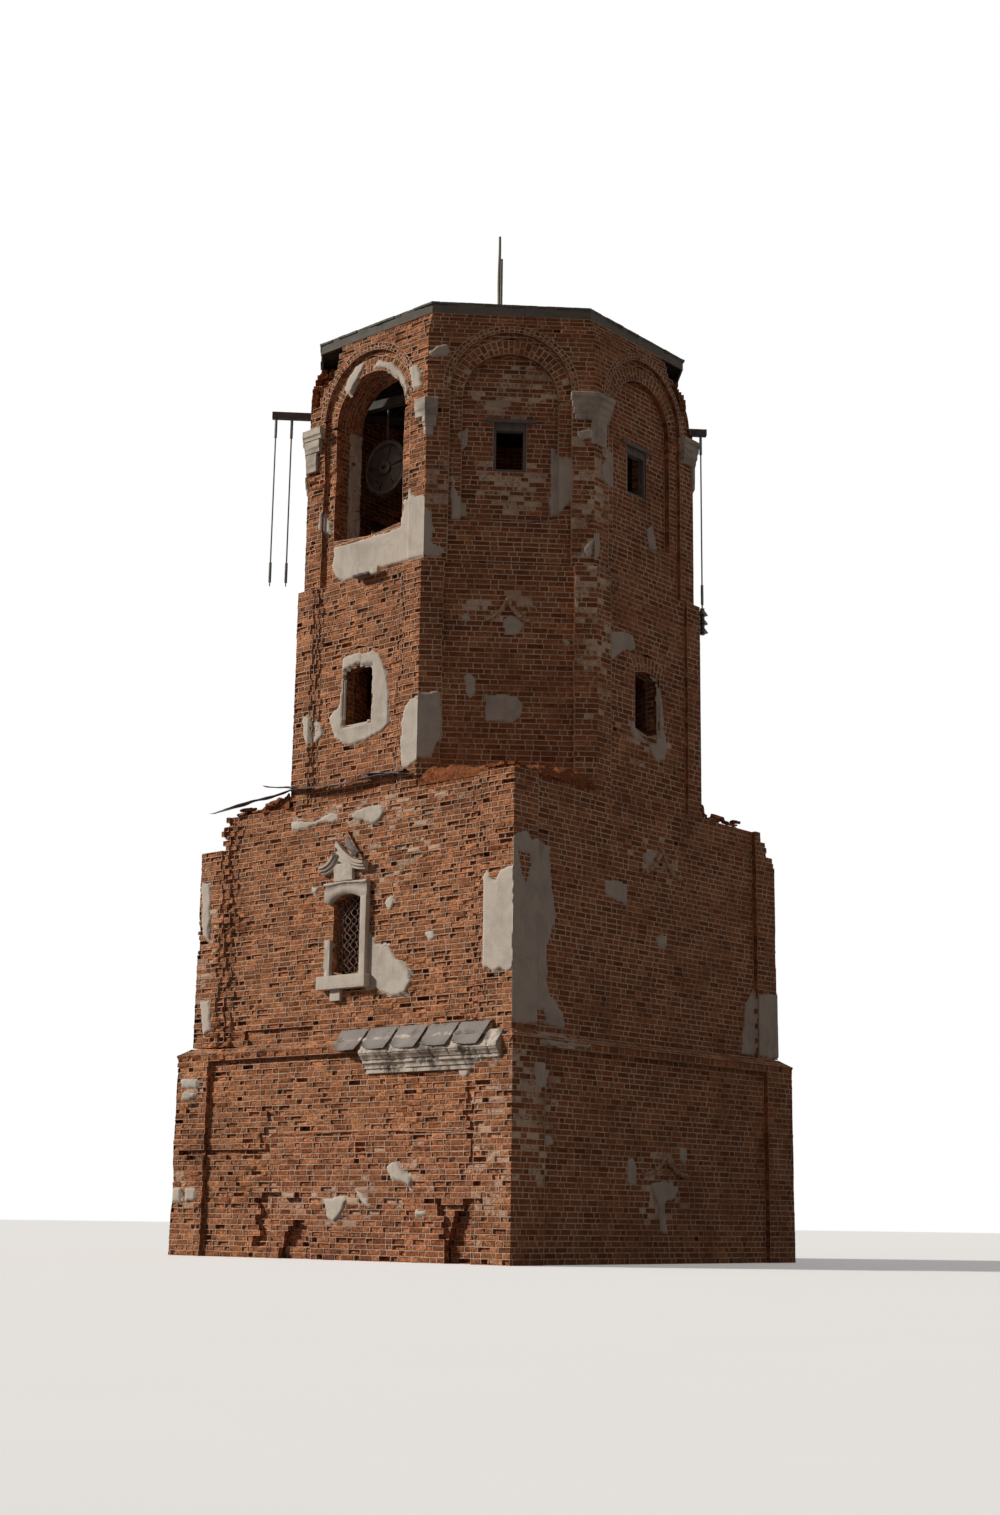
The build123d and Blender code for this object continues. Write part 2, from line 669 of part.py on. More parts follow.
def bell_break(break_points):
    return broken_end(break_points, BELL_APOTHEM, OCTAGON, OCTAGON_TOP)


def bell_front_wall():
    return bell_wall() - bell_break(BELL_FRONT_BREAK)


def bell_right_wall():
    return turned(bell_wall() - bell_break(BELL_REAR_BREAK).mirror(Plane.YZ), 90)


def capital(steps, top):
    """Stepped capital on the corner between the front and front right faces."""
    corner = half_side(BELL_APOTHEM, OCTAGON)
    core = prism(BELL_APOTHEM, OCTAGON, OCTAGON_TOP, BELL_TOP)
    blocks = None
    for height, out, left, right in steps:
        ring = prism(BELL_APOTHEM + out, OCTAGON, top - height, top)
        on_front = box_between((corner - left, -FAR, 0), (FAR, 0, FAR))
        on_side = turned(box_between((-FAR, -FAR, 0), (right - corner, 0, FAR)), 45)
        block = (ring & on_front & on_side) - core
        blocks = block if blocks is None else blocks + block
        top = top - height
    return blocks


def bell_capitals():
    """Capitals as they survive on four corners, and again on the four opposite them."""
    survivors = [
        capital(STUMP_CAPITAL, STUMP_CAPITAL_TOP),
        capital(WHOLE_CAPITAL, WHOLE_CAPITAL_TOP),
        capital(WHOLE_CAPITAL, WHOLE_CAPITAL_TOP),
        capital(SHORT_CAPITAL, SHORT_CAPITAL_TOP),
    ]
    pieces = [turned(survivors[index % 4], 45 * index) for index in range(OCTAGON)]
    return Compound(children=pieces)


def outrigger_pocket():
    """Square run of the crossing beam along the front face's normal."""
    half = OUTRIGGER_SIZE / 2
    return box_between(
        (-half, -OUTRIGGER_LEFT, OUTRIGGER_Z - half), (half, OUTRIGGER_RIGHT, OUTRIGGER_Z + half)
    )


def bell_diagonal_walls():
    pocket = turned(outrigger_pocket(), -45)
    front_right = bell_wall()
    back_right = bell_wall() - bell_break(BELL_REAR_BREAK)
    back_left = bell_wall()
    front_left = bell_wall() - bell_break(BELL_FRONT_BREAK).mirror(Plane.YZ)
    walls = [front_right, back_right, back_left, front_left]
    placed = [turned(wall, 45 + 90 * index) - pocket for index, wall in enumerate(walls)]
    return Compound(children=placed)


def infill_face():
    """Distance of the arch fillings' outer face from the tower's axis."""
    return BELL_APOTHEM - ARCH_FILL_SETBACK - PANEL_DEPTH


def bell_infill():
    """Brick filling of an arch with a small square-headed window in it."""
    outer = infill_face()
    slab = box_between((-FAR, -outer, 0), (FAR, -outer + ARCH_FILL_THICKNESS, ROOF_APEX))
    half = BELL_WINDOW_WIDTH / 2 + FRAME_BAR
    head = BELL_WINDOW_SILL + BELL_WINDOW_HEIGHT + HEADER_HEIGHT
    hole = box_between((-half, -FAR, BELL_WINDOW_SILL - FRAME_BAR), (half, 0, head))
    back = FRAME_SETBACK + FRAME_DEPTH - outer
    lintel = box_between((-LINTEL_WIDTH / 2, -FAR, head), (LINTEL_WIDTH / 2, back, head + LINTEL_HEIGHT))
    return (slab & arch_opening()) - hole - lintel


def bell_window_frame():
    """Plank frame, header and lintel board of a small bell storey window."""
    outer = infill_face()
    half = BELL_WINDOW_WIDTH / 2
    low = BELL_WINDOW_SILL
    light_top = low + BELL_WINDOW_HEIGHT
    head = light_top + HEADER_HEIGHT
    bar = FRAME_BAR
    back = FRAME_SETBACK + FRAME_DEPTH - outer
    frame = box_between((-half - bar, FRAME_SETBACK - outer, low - bar), (half + bar, back, head))
    light = box_between((-half, -FAR, low), (half, 0, light_top))
    lintel = box_between(
        (-LINTEL_WIDTH / 2, -outer - LINTEL_OVERHANG, head),
        (LINTEL_WIDTH / 2, back, head + LINTEL_HEIGHT),
    )
    return frame - light + lintel


FILLED_ARCHES = [45, 90, 135, 225, 270, 315]


def in_filled_arches(piece):
    return Compound(children=[turned(piece, angle) for angle in FILLED_ARCHES])


def bell_arch_infills():
    """The six fillings, let in round the crossing beam where it comes down to them."""
    return Compound(children=[turned(bell_infill(), angle) - outrigger_beam() for angle in FILLED_ARCHES])


def floor(apothem, sides, top):
    """Plank floor that bears on the set-back of the wall below."""
    return prism(apothem, sides, top, top + FLOOR_THICKNESS)


def roof_height(distance):
    """Height of the deck's upper face at a distance from the axis, towards a side."""
    return ROOF_APEX - (ROOF_APEX - ROOF_EDGE) * distance / ROOF_APOTHEM


def roof_pyramid(drop):
    """Solid under the roof's upper face, lowered by a drop."""
    base = Pos(0, 0, ROOF_EDGE - drop) * plan(ROOF_APOTHEM, OCTAGON)
    cone = loft([base.face(), Vertex(0, 0, ROOF_APEX - drop)])
    skirt = prism(ROOF_APOTHEM, OCTAGON, BELL_TOP, ROOF_EDGE - drop)
    return cone + skirt


def roof_deck():
    """Board roof as a thin octagonal pyramid with a hole for the mast."""
    shell = roof_pyramid(0) - roof_pyramid(DECK_THICKNESS)
    hole_side = MAST_WIDTH + SPLICE_WIDTH + 2 * MAST_CLEARANCE
    hole = Pos(SPLICE_WIDTH / 2, 0, ROOF_APEX) * Box(hole_side, MAST_WIDTH + 2 * MAST_CLEARANCE, FAR)
    return shell - hole


def roof_fascia():
    """Boards on edge round the foot of the roof."""
    outer = ROOF_APOTHEM - FASCIA_INSET
    ring = prism(outer, OCTAGON, BELL_TOP, ROOF_APEX)
    ring = ring - prism(outer - FASCIA_THICKNESS, OCTAGON, BELL_TOP, ROOF_APEX)
    return ring & roof_pyramid(DECK_THICKNESS)


def roof_frame():
    """Rafters under the middle of each roof side, on a short king post."""
    outer = ROOF_APOTHEM - FASCIA_INSET - FASCIA_THICKNESS
    post_top = ROOF_APEX - DECK_THICKNESS
    frame = Pos(0, 0, post_top - KING_POST_LENGTH / 2) * Cylinder(KING_POST_RADIUS, KING_POST_LENGTH)
    seat = BELL_APOTHEM - BELL_WALL
    for index in range(OCTAGON):
        under = DECK_THICKNESS + RAFTER_DEPTH
        rafter = side_profile(
            [
                (-outer, BELL_TOP), (-outer, roof_height(outer) - DECK_THICKNESS),
                (-KING_POST_RADIUS / 2, roof_height(KING_POST_RADIUS / 2) - DECK_THICKNESS),
                (-KING_POST_RADIUS / 2, roof_height(KING_POST_RADIUS / 2) - under),
                (-seat, roof_height(seat) - under), (-seat, BELL_TOP),
            ],
            -RAFTER_WIDTH / 2,
            RAFTER_WIDTH / 2,
        )
        frame = frame + turned(rafter, 45 * index)
    below_mast = box_between((-FAR, -FAR, 0), (FAR, FAR, mast_foot()))
    return frame & roof_pyramid(DECK_THICKNESS) & below_mast


def mast_foot():
    """Height of the king post's flat top, where the mast stands."""
    return roof_height(KING_POST_RADIUS) - DECK_THICKNESS


def mast():
    """Tapered pole with a shorter batten spliced to its side."""
    foot = mast_foot()
    low = Pos(0, 0, foot) * Rectangle(MAST_WIDTH, MAST_WIDTH)
    high = Pos(0, 0, MAST_TOP) * Rectangle(MAST_TOP_WIDTH, MAST_TOP_WIDTH)
    pole = loft([low.face(), high.face()])
    side = MAST_WIDTH / 2
    batten = box_between((0, -side, foot), (side + SPLICE_WIDTH, side, SPLICE_TOP))
    return pole + batten


def cross_beam():
    """Timber across the chamber behind the front arch, sagging towards its right end."""
    bar = Box(FAR, CROSS_BEAM_SIZE, CROSS_BEAM_SIZE)
    bar = Pos(0, CROSS_BEAM_Y, CROSS_BEAM_Z) * Rot(0, CROSS_BEAM_TILT, 0) * bar
    return bar & prism(BELL_APOTHEM - BELL_WALL, OCTAGON, OCTAGON_TOP, BELL_TOP)


def hanging_wheel():
    """Dished wheel with a rim, web and hub, on an iron strap from the cross beam."""
    rim = Cylinder(WHEEL_RADIUS, WHEEL_WIDTH) - Cylinder(WHEEL_RADIUS - WHEEL_RIM, WHEEL_WIDTH)
    web = Cylinder(WHEEL_RADIUS - WHEEL_RIM / 2, WEB_THICKNESS)
    hub = Cylinder(HUB_RADIUS, HUB_WIDTH)
    wheel = rim + web + hub - Cylinder(HUB_HOLE_RADIUS, HUB_WIDTH)
    wheel = Pos(WHEEL_X, CROSS_BEAM_Y, WHEEL_Z) * Rot(90, 0, 0) * wheel
    rim_middle = WHEEL_Z + WHEEL_RADIUS - WHEEL_RIM / 2
    strap = box_between(
        (WHEEL_X - STRAP_WIDTH / 2, CROSS_BEAM_Y - STRAP_THICKNESS / 2, rim_middle),
        (WHEEL_X + STRAP_WIDTH / 2, CROSS_BEAM_Y + STRAP_THICKNESS / 2, CROSS_BEAM_Z),
    )
    return wheel + (strap - cross_beam())


def outrigger_beam():
    return turned(outrigger_pocket(), -45)


def rod(place, length):
    """Rod with a sleeve at each end and an eye at the foot."""
    top = OUTRIGGER_Z - OUTRIGGER_SIZE / 2
    foot = top - length
    bar = Pos(0, 0, (top + foot) / 2) * Cylinder(ROD_RADIUS, length)
    upper = Pos(0, 0, top - SLEEVE_LENGTH / 2) * Cylinder(SLEEVE_RADIUS, SLEEVE_LENGTH)
    lower = Pos(0, 0, foot + SLEEVE_LENGTH / 2) * Cylinder(SLEEVE_RADIUS, SLEEVE_LENGTH)
    eye = Pos(0, 0, foot - EYE_RADIUS) * Rot(90, 0, 0) * Torus(EYE_RADIUS, EYE_WIRE)
    return Rot(0, 0, -45) * Pos(0, place, 0) * (bar + upper + lower + eye)


def hanger_rods():
    rods = [
        rod(OUTER_ROD_INSET - OUTRIGGER_LEFT, ROD_LENGTH),
        rod(INNER_ROD_INSET - OUTRIGGER_LEFT, ROD_LENGTH),
        rod(OUTRIGGER_RIGHT - RIGHT_ROD_INSET, RIGHT_ROD_LENGTH),
    ]
    return Compound(children=rods)


def insulator_stack():
    """Three discs on a core, held off the wall by two arms."""
    place = OUTRIGGER_RIGHT - RIGHT_ROD_INSET
    top = STACK_TOP
    height = DISC_PITCH * DISC_COUNT
    stack = Pos(0, 0, top - height / 2) * Cylinder(INSULATOR_CORE, height)
    for index in range(DISC_COUNT):
        z = top - DISC_PITCH * (index + 0.5)
        stack = stack + Pos(0, 0, z) * Cone(DISC_RADIUS, INSULATOR_CORE, DISC_RISE)
    wall_face = BELL_APOTHEM - PANEL_DEPTH
    half = ARM_SIZE / 2
    for index in range(1, DISC_COUNT):
        z = top - DISC_PITCH * index
        arm = box_between((-half, wall_face - place, z - half), (half, 0, z + half))
        stack = stack + arm
    return Rot(0, 0, -45) * Pos(0, place, 0) * stack


def save(name, shape):
    os.makedirs("parts", exist_ok=True)
    export_step(shape, f"parts/{name}.step")


def main():
    save("ground_front_wall", ground_front_wall())
    save("ground_front_infill", ground_front_infill())
    save("ground_right_wall", turned(ground_wall(), 90))
    save("ground_back_wall", ground_back_wall())
    save("ground_left_wall", ground_left_wall())
    save("ground_cornice", ground_cornice())
    save("ground_flashing", ground_flashing())
    save("middle_front_wall", middle_front_wall())
    save("middle_right_wall", middle_right_wall())
    save("middle_back_wall", middle_back_wall())
    save("middle_left_wall", middle_left_wall())
    save("middle_squinches", middle_squinches())
    save("middle_corner_caps", middle_corner_caps())
    save("middle_window_surrounds", on_front_and_back(window_surround()))
    save("middle_pediments", on_front_and_back(pediment()))
    for index, side in enumerate(["front", "right", "back", "left"]):
        save(f"octagon_{side}_wall", turned(octagon_window_wall(), 90 * index))
    save("octagon_diagonal_walls", octagon_diagonal_walls())
    save("bell_front_wall", bell_front_wall())
    save("bell_right_wall", bell_right_wall())
    save("bell_back_wall", turned(bell_wall(), 180))
    save("bell_left_wall", turned(bell_wall(), 270))
    save("bell_diagonal_walls", bell_diagonal_walls())
    save("bell_capitals", bell_capitals())
    save("bell_arch_infills", bell_arch_infills())
    save("bell_window_frames", in_filled_arches(bell_window_frame()))
    save("ground_floor", prism(GROUND_APOTHEM - GROUND_WALL, SQUARE, 0, GROUND_FLOOR_THICKNESS))
    save("middle_floor", floor(MIDDLE_APOTHEM - MIDDLE_WALL, SQUARE, GROUND_TOP))
    save("octagon_floor", floor(OCTAGON_APOTHEM - OCTAGON_WALL, OCTAGON, MIDDLE_TOP))
    save("bell_floor", floor(BELL_APOTHEM - BELL_WALL, OCTAGON, OCTAGON_TOP))
    save("roof_deck", roof_deck())
    save("roof_fascia", roof_fascia())
    save("roof_frame", roof_frame())
    save("mast", mast())
    save("cross_beam", cross_beam())
    save("hanging_wheel", hanging_wheel())
    save("outrigger_beam", outrigger_beam())
    save("hanger_rods", hanger_rods())
    save("insulator_stack", insulator_stack())


main()
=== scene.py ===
import bpy
import numpy as np
from collections import namedtuple
from math import pi, sqrt, tan
from mathutils import Matrix, Vector


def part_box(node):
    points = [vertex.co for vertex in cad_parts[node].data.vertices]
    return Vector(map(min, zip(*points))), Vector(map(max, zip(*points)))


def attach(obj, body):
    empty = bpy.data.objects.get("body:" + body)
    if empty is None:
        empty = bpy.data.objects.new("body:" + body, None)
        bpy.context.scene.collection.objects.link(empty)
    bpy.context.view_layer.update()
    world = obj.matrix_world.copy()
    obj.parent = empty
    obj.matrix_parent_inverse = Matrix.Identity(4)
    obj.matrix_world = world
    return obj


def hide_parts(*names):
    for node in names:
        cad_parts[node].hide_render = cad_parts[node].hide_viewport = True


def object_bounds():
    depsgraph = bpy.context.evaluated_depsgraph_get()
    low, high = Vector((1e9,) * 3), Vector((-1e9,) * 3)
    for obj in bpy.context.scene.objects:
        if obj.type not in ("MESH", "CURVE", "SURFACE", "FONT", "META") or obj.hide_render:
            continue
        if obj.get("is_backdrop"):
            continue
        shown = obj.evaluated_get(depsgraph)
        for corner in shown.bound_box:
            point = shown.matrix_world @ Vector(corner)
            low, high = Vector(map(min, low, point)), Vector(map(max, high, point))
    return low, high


bl_info = {
    "name": "Ruined Bell Tower",
    "version": (1, 0, 0),
    "blender": (4, 5, 0),
    "location": "View3D > Sidebar > Bell Tower",
    "description": "Lays the brickwork, stucco, boards and ironwork of a ruined bell tower",
    "category": "Object",
}

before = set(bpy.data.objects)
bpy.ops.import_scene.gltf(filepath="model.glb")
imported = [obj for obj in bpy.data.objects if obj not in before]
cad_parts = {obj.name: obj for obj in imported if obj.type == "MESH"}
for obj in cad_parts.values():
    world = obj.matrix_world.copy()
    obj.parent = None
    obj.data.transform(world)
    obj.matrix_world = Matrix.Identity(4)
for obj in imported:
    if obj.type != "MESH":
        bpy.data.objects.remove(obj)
CAD_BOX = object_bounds()

# Storeys of the tower, in metres: what the frame gives, then relief of the pilasters and frieze
Storey = namedtuple("Storey", "apothem sides bottom top wall pilaster relief frieze")


def storey(node, sides, wall, pilaster, relief, frieze):
    """A storey's outer size, read from its front wall, with the depth of its brick relief."""
    low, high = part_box(node)
    return Storey(-low.y, sides, low.z, high.z, wall, pilaster, relief, frieze)


STOREYS = {
    "ground": storey("ground_front_wall", 4, 1.40, 0.80, 0.09, 0.25),
    "middle": storey("middle_front_wall", 4, 1.12, 0.62, 0.09, 0.0),
    "octagon": storey("octagon_front_wall", 8, 0.95, 0.40, 0.07, 0.0),
    "bell": storey("bell_front_wall", 8, 0.75, 0.40, 0.08, 0.0),
}
LEDGE_DROP = 0.12
BATTER_RUN = 0.17
BATTER_HEIGHT = 0.42

# Openings, each with its middle along the wall, width, sill, spring line and crown
Opening = namedtuple("Opening", "middle width sill spring crown")
DOORWAY = Opening(0.0, 1.50, 0.0, 2.00, 2.45)
OLD_GATE = Opening(0.775, 4.55, 0.0, 2.20, 2.80)
MIDDLE_WINDOW = Opening(0.0, 0.72, 4.54, 5.79, 5.89)
OCTAGON_WINDOW = Opening(0.0, 0.70, 8.80, 9.81, 9.88)
BELL_PANEL = Opening(0.0, 2.10, 11.40, 14.57, 15.62)
BELL_ARCH = Opening(0.0, 1.66, 12.19, 14.43, 15.26)
BELL_WINDOW = Opening(0.0, 0.57, 13.13, 14.02, 14.08)
REVEAL = 0.38
FILL_SETBACK = 0.006
FILL_SEEN = 1.95
HOLE_BACK = 0.15
ARCH_SETBACK = 0.11
LINTEL_REACH = 0.445
FOOT_HOLES = [
    [(-1.24, -0.1), (-1.18, 0.42), (-0.90, 0.64), (-0.56, 0.56), (-0.42, -0.1)],
    [(2.44, -0.1), (2.43, 0.33), (2.56, 0.76), (2.82, 0.86), (2.96, 0.56), (2.99, -0.1)],
]

# Corners that have fallen away: storey and face, the end of the wall (-1 left, 1 right), then
# (distance from the corner, height) from the foot of the break up
FRONT_BREAK = [(0.50, 6.98), (0.54, 7.02), (0.56, 7.85)]
REAR_BREAK = [(0.0, 6.95), (0.59, 7.62), (0.81, 7.71), (1.0, 7.85)]
BELL_FRONT_BREAK = [(0.0, 14.65), (0.21, 15.02), (0.62, 15.44), (0.65, 16.05)]
BELL_REAR_BREAK = [(0.0, 14.63), (0.11, 14.76), (0.26, 14.91), (0.51, 15.22), (0.63, 15.51), (0.65, 16.05)]
BREAKS = {
    ("middle", "front"): (-1, FRONT_BREAK), ("middle", "left"): (1, FRONT_BREAK),
    ("middle", "right"): (1, REAR_BREAK), ("middle", "back"): (-1, REAR_BREAK),
    ("bell", "front"): (-1, BELL_FRONT_BREAK), ("bell", "front_left"): (1, BELL_FRONT_BREAK),
    ("bell", "right"): (1, BELL_REAR_BREAK), ("bell", "back_right"): (-1, BELL_REAR_BREAK),
}

# Shallow hollows in the left walls, as (along, height), and their radius and depth
HOLLOWS = {
    "ground": [(0.12, 1.69), (-1.25, 0.90), (-1.50, 2.50), (1.35, 2.40), (1.70, 0.80)],
    "middle": [(0.05, 5.43), (-1.50, 4.40), (-1.70, 6.40), (1.50, 6.45), (1.65, 4.50)],
}
HOLLOW_RADIUS = 0.56
HOLLOW_DEPTH = 0.045

# Places where lime clings to the brick: storey, face, middle along and up, half width and height
LIMED = [
    ("ground", "front", -1.56, 2.00, 0.16, 0.50), ("ground", "front", 3.02, 2.05, 0.20, 0.60),
    ("ground", "front", 3.35, 1.60, 0.45, 1.40), ("ground", "front", 0.10, 0.80, 0.75, 0.35),
    ("ground", "front", -1.20, 1.00, 0.60, 0.22), ("ground", "front", 1.45, 1.30, 0.60, 0.45),
    ("ground", "front", -3.55, 1.05, 0.25, 0.40), ("ground", "front", -3.45, 2.80, 0.35, 0.25),
    ("ground", "right", -3.30, 2.40, 0.60, 1.00), ("ground", "right", 0.10, 1.20, 0.60, 0.55),
    ("ground", "right", -2.50, 3.42, 0.90, 0.12),
    ("middle", "front", 0.30, 7.15, 2.00, 0.30), ("middle", "front", 0.75, 6.30, 1.00, 0.45),
    ("middle", "front", -3.40, 5.30, 0.22, 1.20), ("middle", "right", 0.20, 6.60, 0.60, 0.35),
    ("octagon", "front_right", 1.35, 10.30, 0.28, 1.20), ("octagon", "front_right", 0.0, 10.60, 0.60, 0.25),
    ("octagon", "right", -1.35, 10.00, 0.25, 1.30), ("octagon", "right", -0.10, 8.60, 0.70, 0.35),
    ("bell", "front_right", 0.0, 12.80, 1.00, 0.45), ("bell", "front_right", 1.30, 12.60, 0.30, 1.10),
    ("bell", "front_right", -1.25, 12.80, 0.30, 0.60), ("bell", "right", -1.20, 12.90, 0.30, 0.80),
    ("bell", "front_right", 0.0, 14.60, 0.80, 0.45),
]

# Places where the brick has crumbled back: storey, face, middle along and up, half width and height, depth
SUNK = [
    ("ground", "front", -1.24, 0.60, 0.56, 0.42, 0.090), ("ground", "front", 2.74, 0.58, 0.46, 0.34, 0.080),
    ("ground", "front", -2.65, 1.69, 1.00, 0.05, 0.060), ("ground", "front", -1.58, 2.05, 0.13, 0.48, 0.055),
    ("ground", "front", 2.98, 2.05, 0.14, 0.55, 0.050), ("middle", "front", -1.60, 3.62, 0.80, 0.13, 0.060),
    ("middle", "front", -2.20, 7.40, 0.90, 0.22, 0.045), ("ground", "right", 2.28, 2.64, 0.04, 0.33, 0.070),
]

# Wall faces: the angle of each about the tower's axis, and how far its brick has decayed, which also sets how much
# painted crumb shadow and highlight its brick gets
FACES = {
    "front": (0, 1.0), "front_right": (45, 0.35), "right": (90, 0.22), "back_right": (135, 0.3),
    "back": (180, 0.5), "back_left": (225, 0.6), "left": (270, 0.8), "front_left": (315, 0.95),
}
SQUARE_FACES = ["front", "right", "back", "left"]
DIAGONAL_FACES = ["front_right", "back_right", "back_left", "front_left"]
FILLED_FACES = ["front_right", "right", "back_right", "back_left", "left", "front_left"]

# How far decay has rounded off the edges of each storey's pilasters
RAGGED_EDGES = {"ground": 0.25, "middle": 1.0, "octagon": 0.6, "bell": 0.0}

SOCKET = 0.16
REVEAL_INSET = 0.06
BACK = 0.11
SKIN = 0.014


# Noise and outlines

def lattice(cells, seed):
    """A repeatable number from 0 to 1 for each whole-number lattice point."""
    mixed = cells[..., 0] * 73856093 ^ cells[..., 1] * 19349663 ^ cells[..., 2] * 83492791
    mixed = (mixed ^ (seed * 2654435761)) & 0xFFFFFFFF
    mixed = ((mixed ^ (mixed >> 15)) * 2246822519) & 0xFFFFFFFF
    mixed = ((mixed ^ (mixed >> 13)) * 3266489917) & 0xFFFFFFFF
    return ((mixed ^ (mixed >> 16)) & 0xFFFFFF) / float(0xFFFFFF)


def noise(points, size, seed):
    """Smooth noise from 0 to 1: eight lattice values blended by a cubic ease along each axis."""
    scaled = points / size
    base = np.floor(scaled).astype(np.int64)
    ease = scaled - base
    ease = ease * ease * (3 - 2 * ease)
    total = 0.0
    for corner in range(8):
        step = np.array([corner & 1, corner >> 1 & 1, corner >> 2 & 1])
        weight = np.prod(np.where(step, ease, 1 - ease), axis=-1)
        total = total + weight * lattice(base + step, seed)
    return total


def rough_noise(points, size, seed, layers=3):
    """Layers of noise, each half as large and half as strong as the one before, from 0 to 1."""
    total = 0.0
    weight = 0.0
    for layer in range(layers):
        share = 0.5 ** layer
        total = total + share * noise(points, size * share, seed + layer)
        weight = weight + share
    return total / weight


def arc_of(opening):
    """Radius of an opening's head and the height of its centre, from its width and rise."""
    rise = opening.crown - opening.spring
    radius = (opening.width ** 2 / 4 + rise ** 2) / (2 * rise)
    return radius, opening.crown - radius


def half_width(opening, z, grow=0.0):
    """Half the opening's width at height z, or 0 outside it; grow widens its head alone."""
    radius, centre = arc_of(opening)
    if z < opening.sill:
        return 0.0
    if z <= opening.spring:
        return opening.width / 2
    inside = (radius + grow) ** 2 - (z - centre) ** 2
    if inside <= 0:
        return 0.0
    if grow and opening.spring > centre + 0.01:
        return min(sqrt(inside), (z - centre) * opening.width / 2 / (opening.spring - centre))
    return sqrt(inside)


# Places: each function takes u, v and depth arrays and gives points

def on_plane(origin, along, up, out):
    """Point on a flat patch: origin + u along + v up - depth out."""
    origin, along, up, out = [np.array(v, float) for v in (origin, along, up, out)]

    def place(u, v, depth):
        return origin + u[..., None] * along + v[..., None] * up - depth[..., None] * out

    return place


def directions(angle):
    """Outward and along directions of a wall turned about Z by an angle in degrees."""
    turn = np.radians(angle)
    out = np.array([np.sin(turn), -np.cos(turn), 0.0])
    along = np.array([np.cos(turn), np.sin(turn), 0.0])
    return out, along


def on_wall(place, angle):
    """Point on a wall: (apothem - depth) out + u along + z up, with u kept inside the mitre."""
    out, along = directions(angle)
    mitre = tan(pi / place.sides)
    up = np.array([0.0, 0.0, 1.0])

    def point(u, z, depth):
        reach = place.apothem - depth
        kept = np.clip(u, -reach * mitre, reach * mitre)
        return reach[..., None] * out + kept[..., None] * along + z[..., None] * up

    return point


def on_arch(place, opening, angle):
    """Point on an arch's face: u runs clockwise along the intrados and v outwards from it."""
    radius, centre = arc_of(opening)
    wall = on_wall(place, angle)

    def point(u, v, depth):
        turn = u / radius
        reach = radius + v
        return wall(opening.middle + reach * np.sin(turn), centre + reach * np.cos(turn), depth)

    return point


def on_soffit(place, opening, angle):
    """Point on the underside of an arch: u runs anticlockwise, v inwards, depth away from the void."""
    radius, centre = arc_of(opening)
    wall = on_wall(place, angle)

    def point(u, v, depth):
        turn = -u / radius
        reach = radius + depth
        return wall(opening.middle + reach * np.sin(turn), centre + reach * np.cos(turn), v)

    return point


def on_jamb(place, opening, angle, side):
    """Point on an opening's side face: u runs so that u, z and the face's normal are right-handed."""
    wall = on_wall(place, angle)

    def point(u, z, depth):
        reach = side * (opening.width / 2 + depth)
        return wall(opening.middle + reach, z, -side * u)

    return point


# Brick laying

def joints(left, right, generator, stretcher=0.275, header=0.140):
    """Places of the upright joints in a course: stretchers and headers by turns from a random start."""
    count = int((right - left) / header) + 3
    turn = (np.arange(count) + generator.integers(2)) % 2
    widths = np.where(turn, stretcher, header) * generator.uniform(0.92, 1.08, count)
    places = left - generator.uniform(0, stretcher) + np.concatenate([[0], np.cumsum(widths)])
    places = places[(places > left + 0.05) & (places < right - 0.05)]
    return np.concatenate([[left], places, [right]])


def course(runs, low, high, generator, rim):
    """Cells of one course: corner places (N, 4, 2), anticlockwise from the lower left, then for each
    its depth and whether it needs sides, which end cells do and with rim all do."""
    corners, depths, sided = [], [], []
    for left, right, depth in runs:
        if max(right[0] - left[0], right[1] - left[1]) < 0.03:
            continue
        places = joints(min(left), max(right), generator)
        lower = np.clip(places, left[0], right[0])
        upper = np.clip(places, left[1], right[1])
        number = len(places) - 1
        corners.append(np.stack([
            np.stack([lower[:-1], np.full(number, low)], -1),
            np.stack([lower[1:], np.full(number, low)], -1),
            np.stack([upper[1:], np.full(number, high)], -1),
            np.stack([upper[:-1], np.full(number, high)], -1),
        ], 1))
        depths.append(np.full(number, depth))
        ends = np.full(number, rim)
        ends[[0, -1]] = True
        sided.append(ends)
    return corners, depths, sided


def offsets(points, place_name, face, u, z):
    """Distance of points from a place on a wall, along and up."""
    centre = on_wall(STOREYS[place_name], FACES[face][0])(np.array(u), np.array(z), np.array(0.0))
    return np.hypot(points[:, 0] - centre[0], points[:, 1] - centre[1]), abs(points[:, 2] - z)


def limed(points):
    """How much lime clings to the brick, from 0 to 1: a soft oval spot round each listed place."""
    total = np.zeros(len(points))
    for place_name, face, u, z, width, height in LIMED:
        aside, above = offsets(points, place_name, face, u, z)
        total = np.maximum(total, np.clip(1.4 - np.hypot(aside / width, above / height), 0, 1))
    return total


def sunk(points):
    """How far each brick has crumbled back, and whether it is in or beside such a place."""
    depth = np.zeros(len(points))
    beside = np.zeros(len(points), bool)
    for place_name, face, u, z, width, height, most in SUNK:
        aside, above = offsets(points, place_name, face, u, z)
        away = np.maximum(aside - width, above - height) + 0.10 * (noise(points, 0.2, 17) - 0.5)
        depth = np.where(away < 0.0, most, depth)
        beside |= away < 0.32
    return depth, beside


def pockets(points):
    """Where a wall has decayed most, from 0 to 1: large noise above a threshold."""
    return np.clip((rough_noise(points, 0.9, 11) - 0.52) * 3.4, 0, 1)


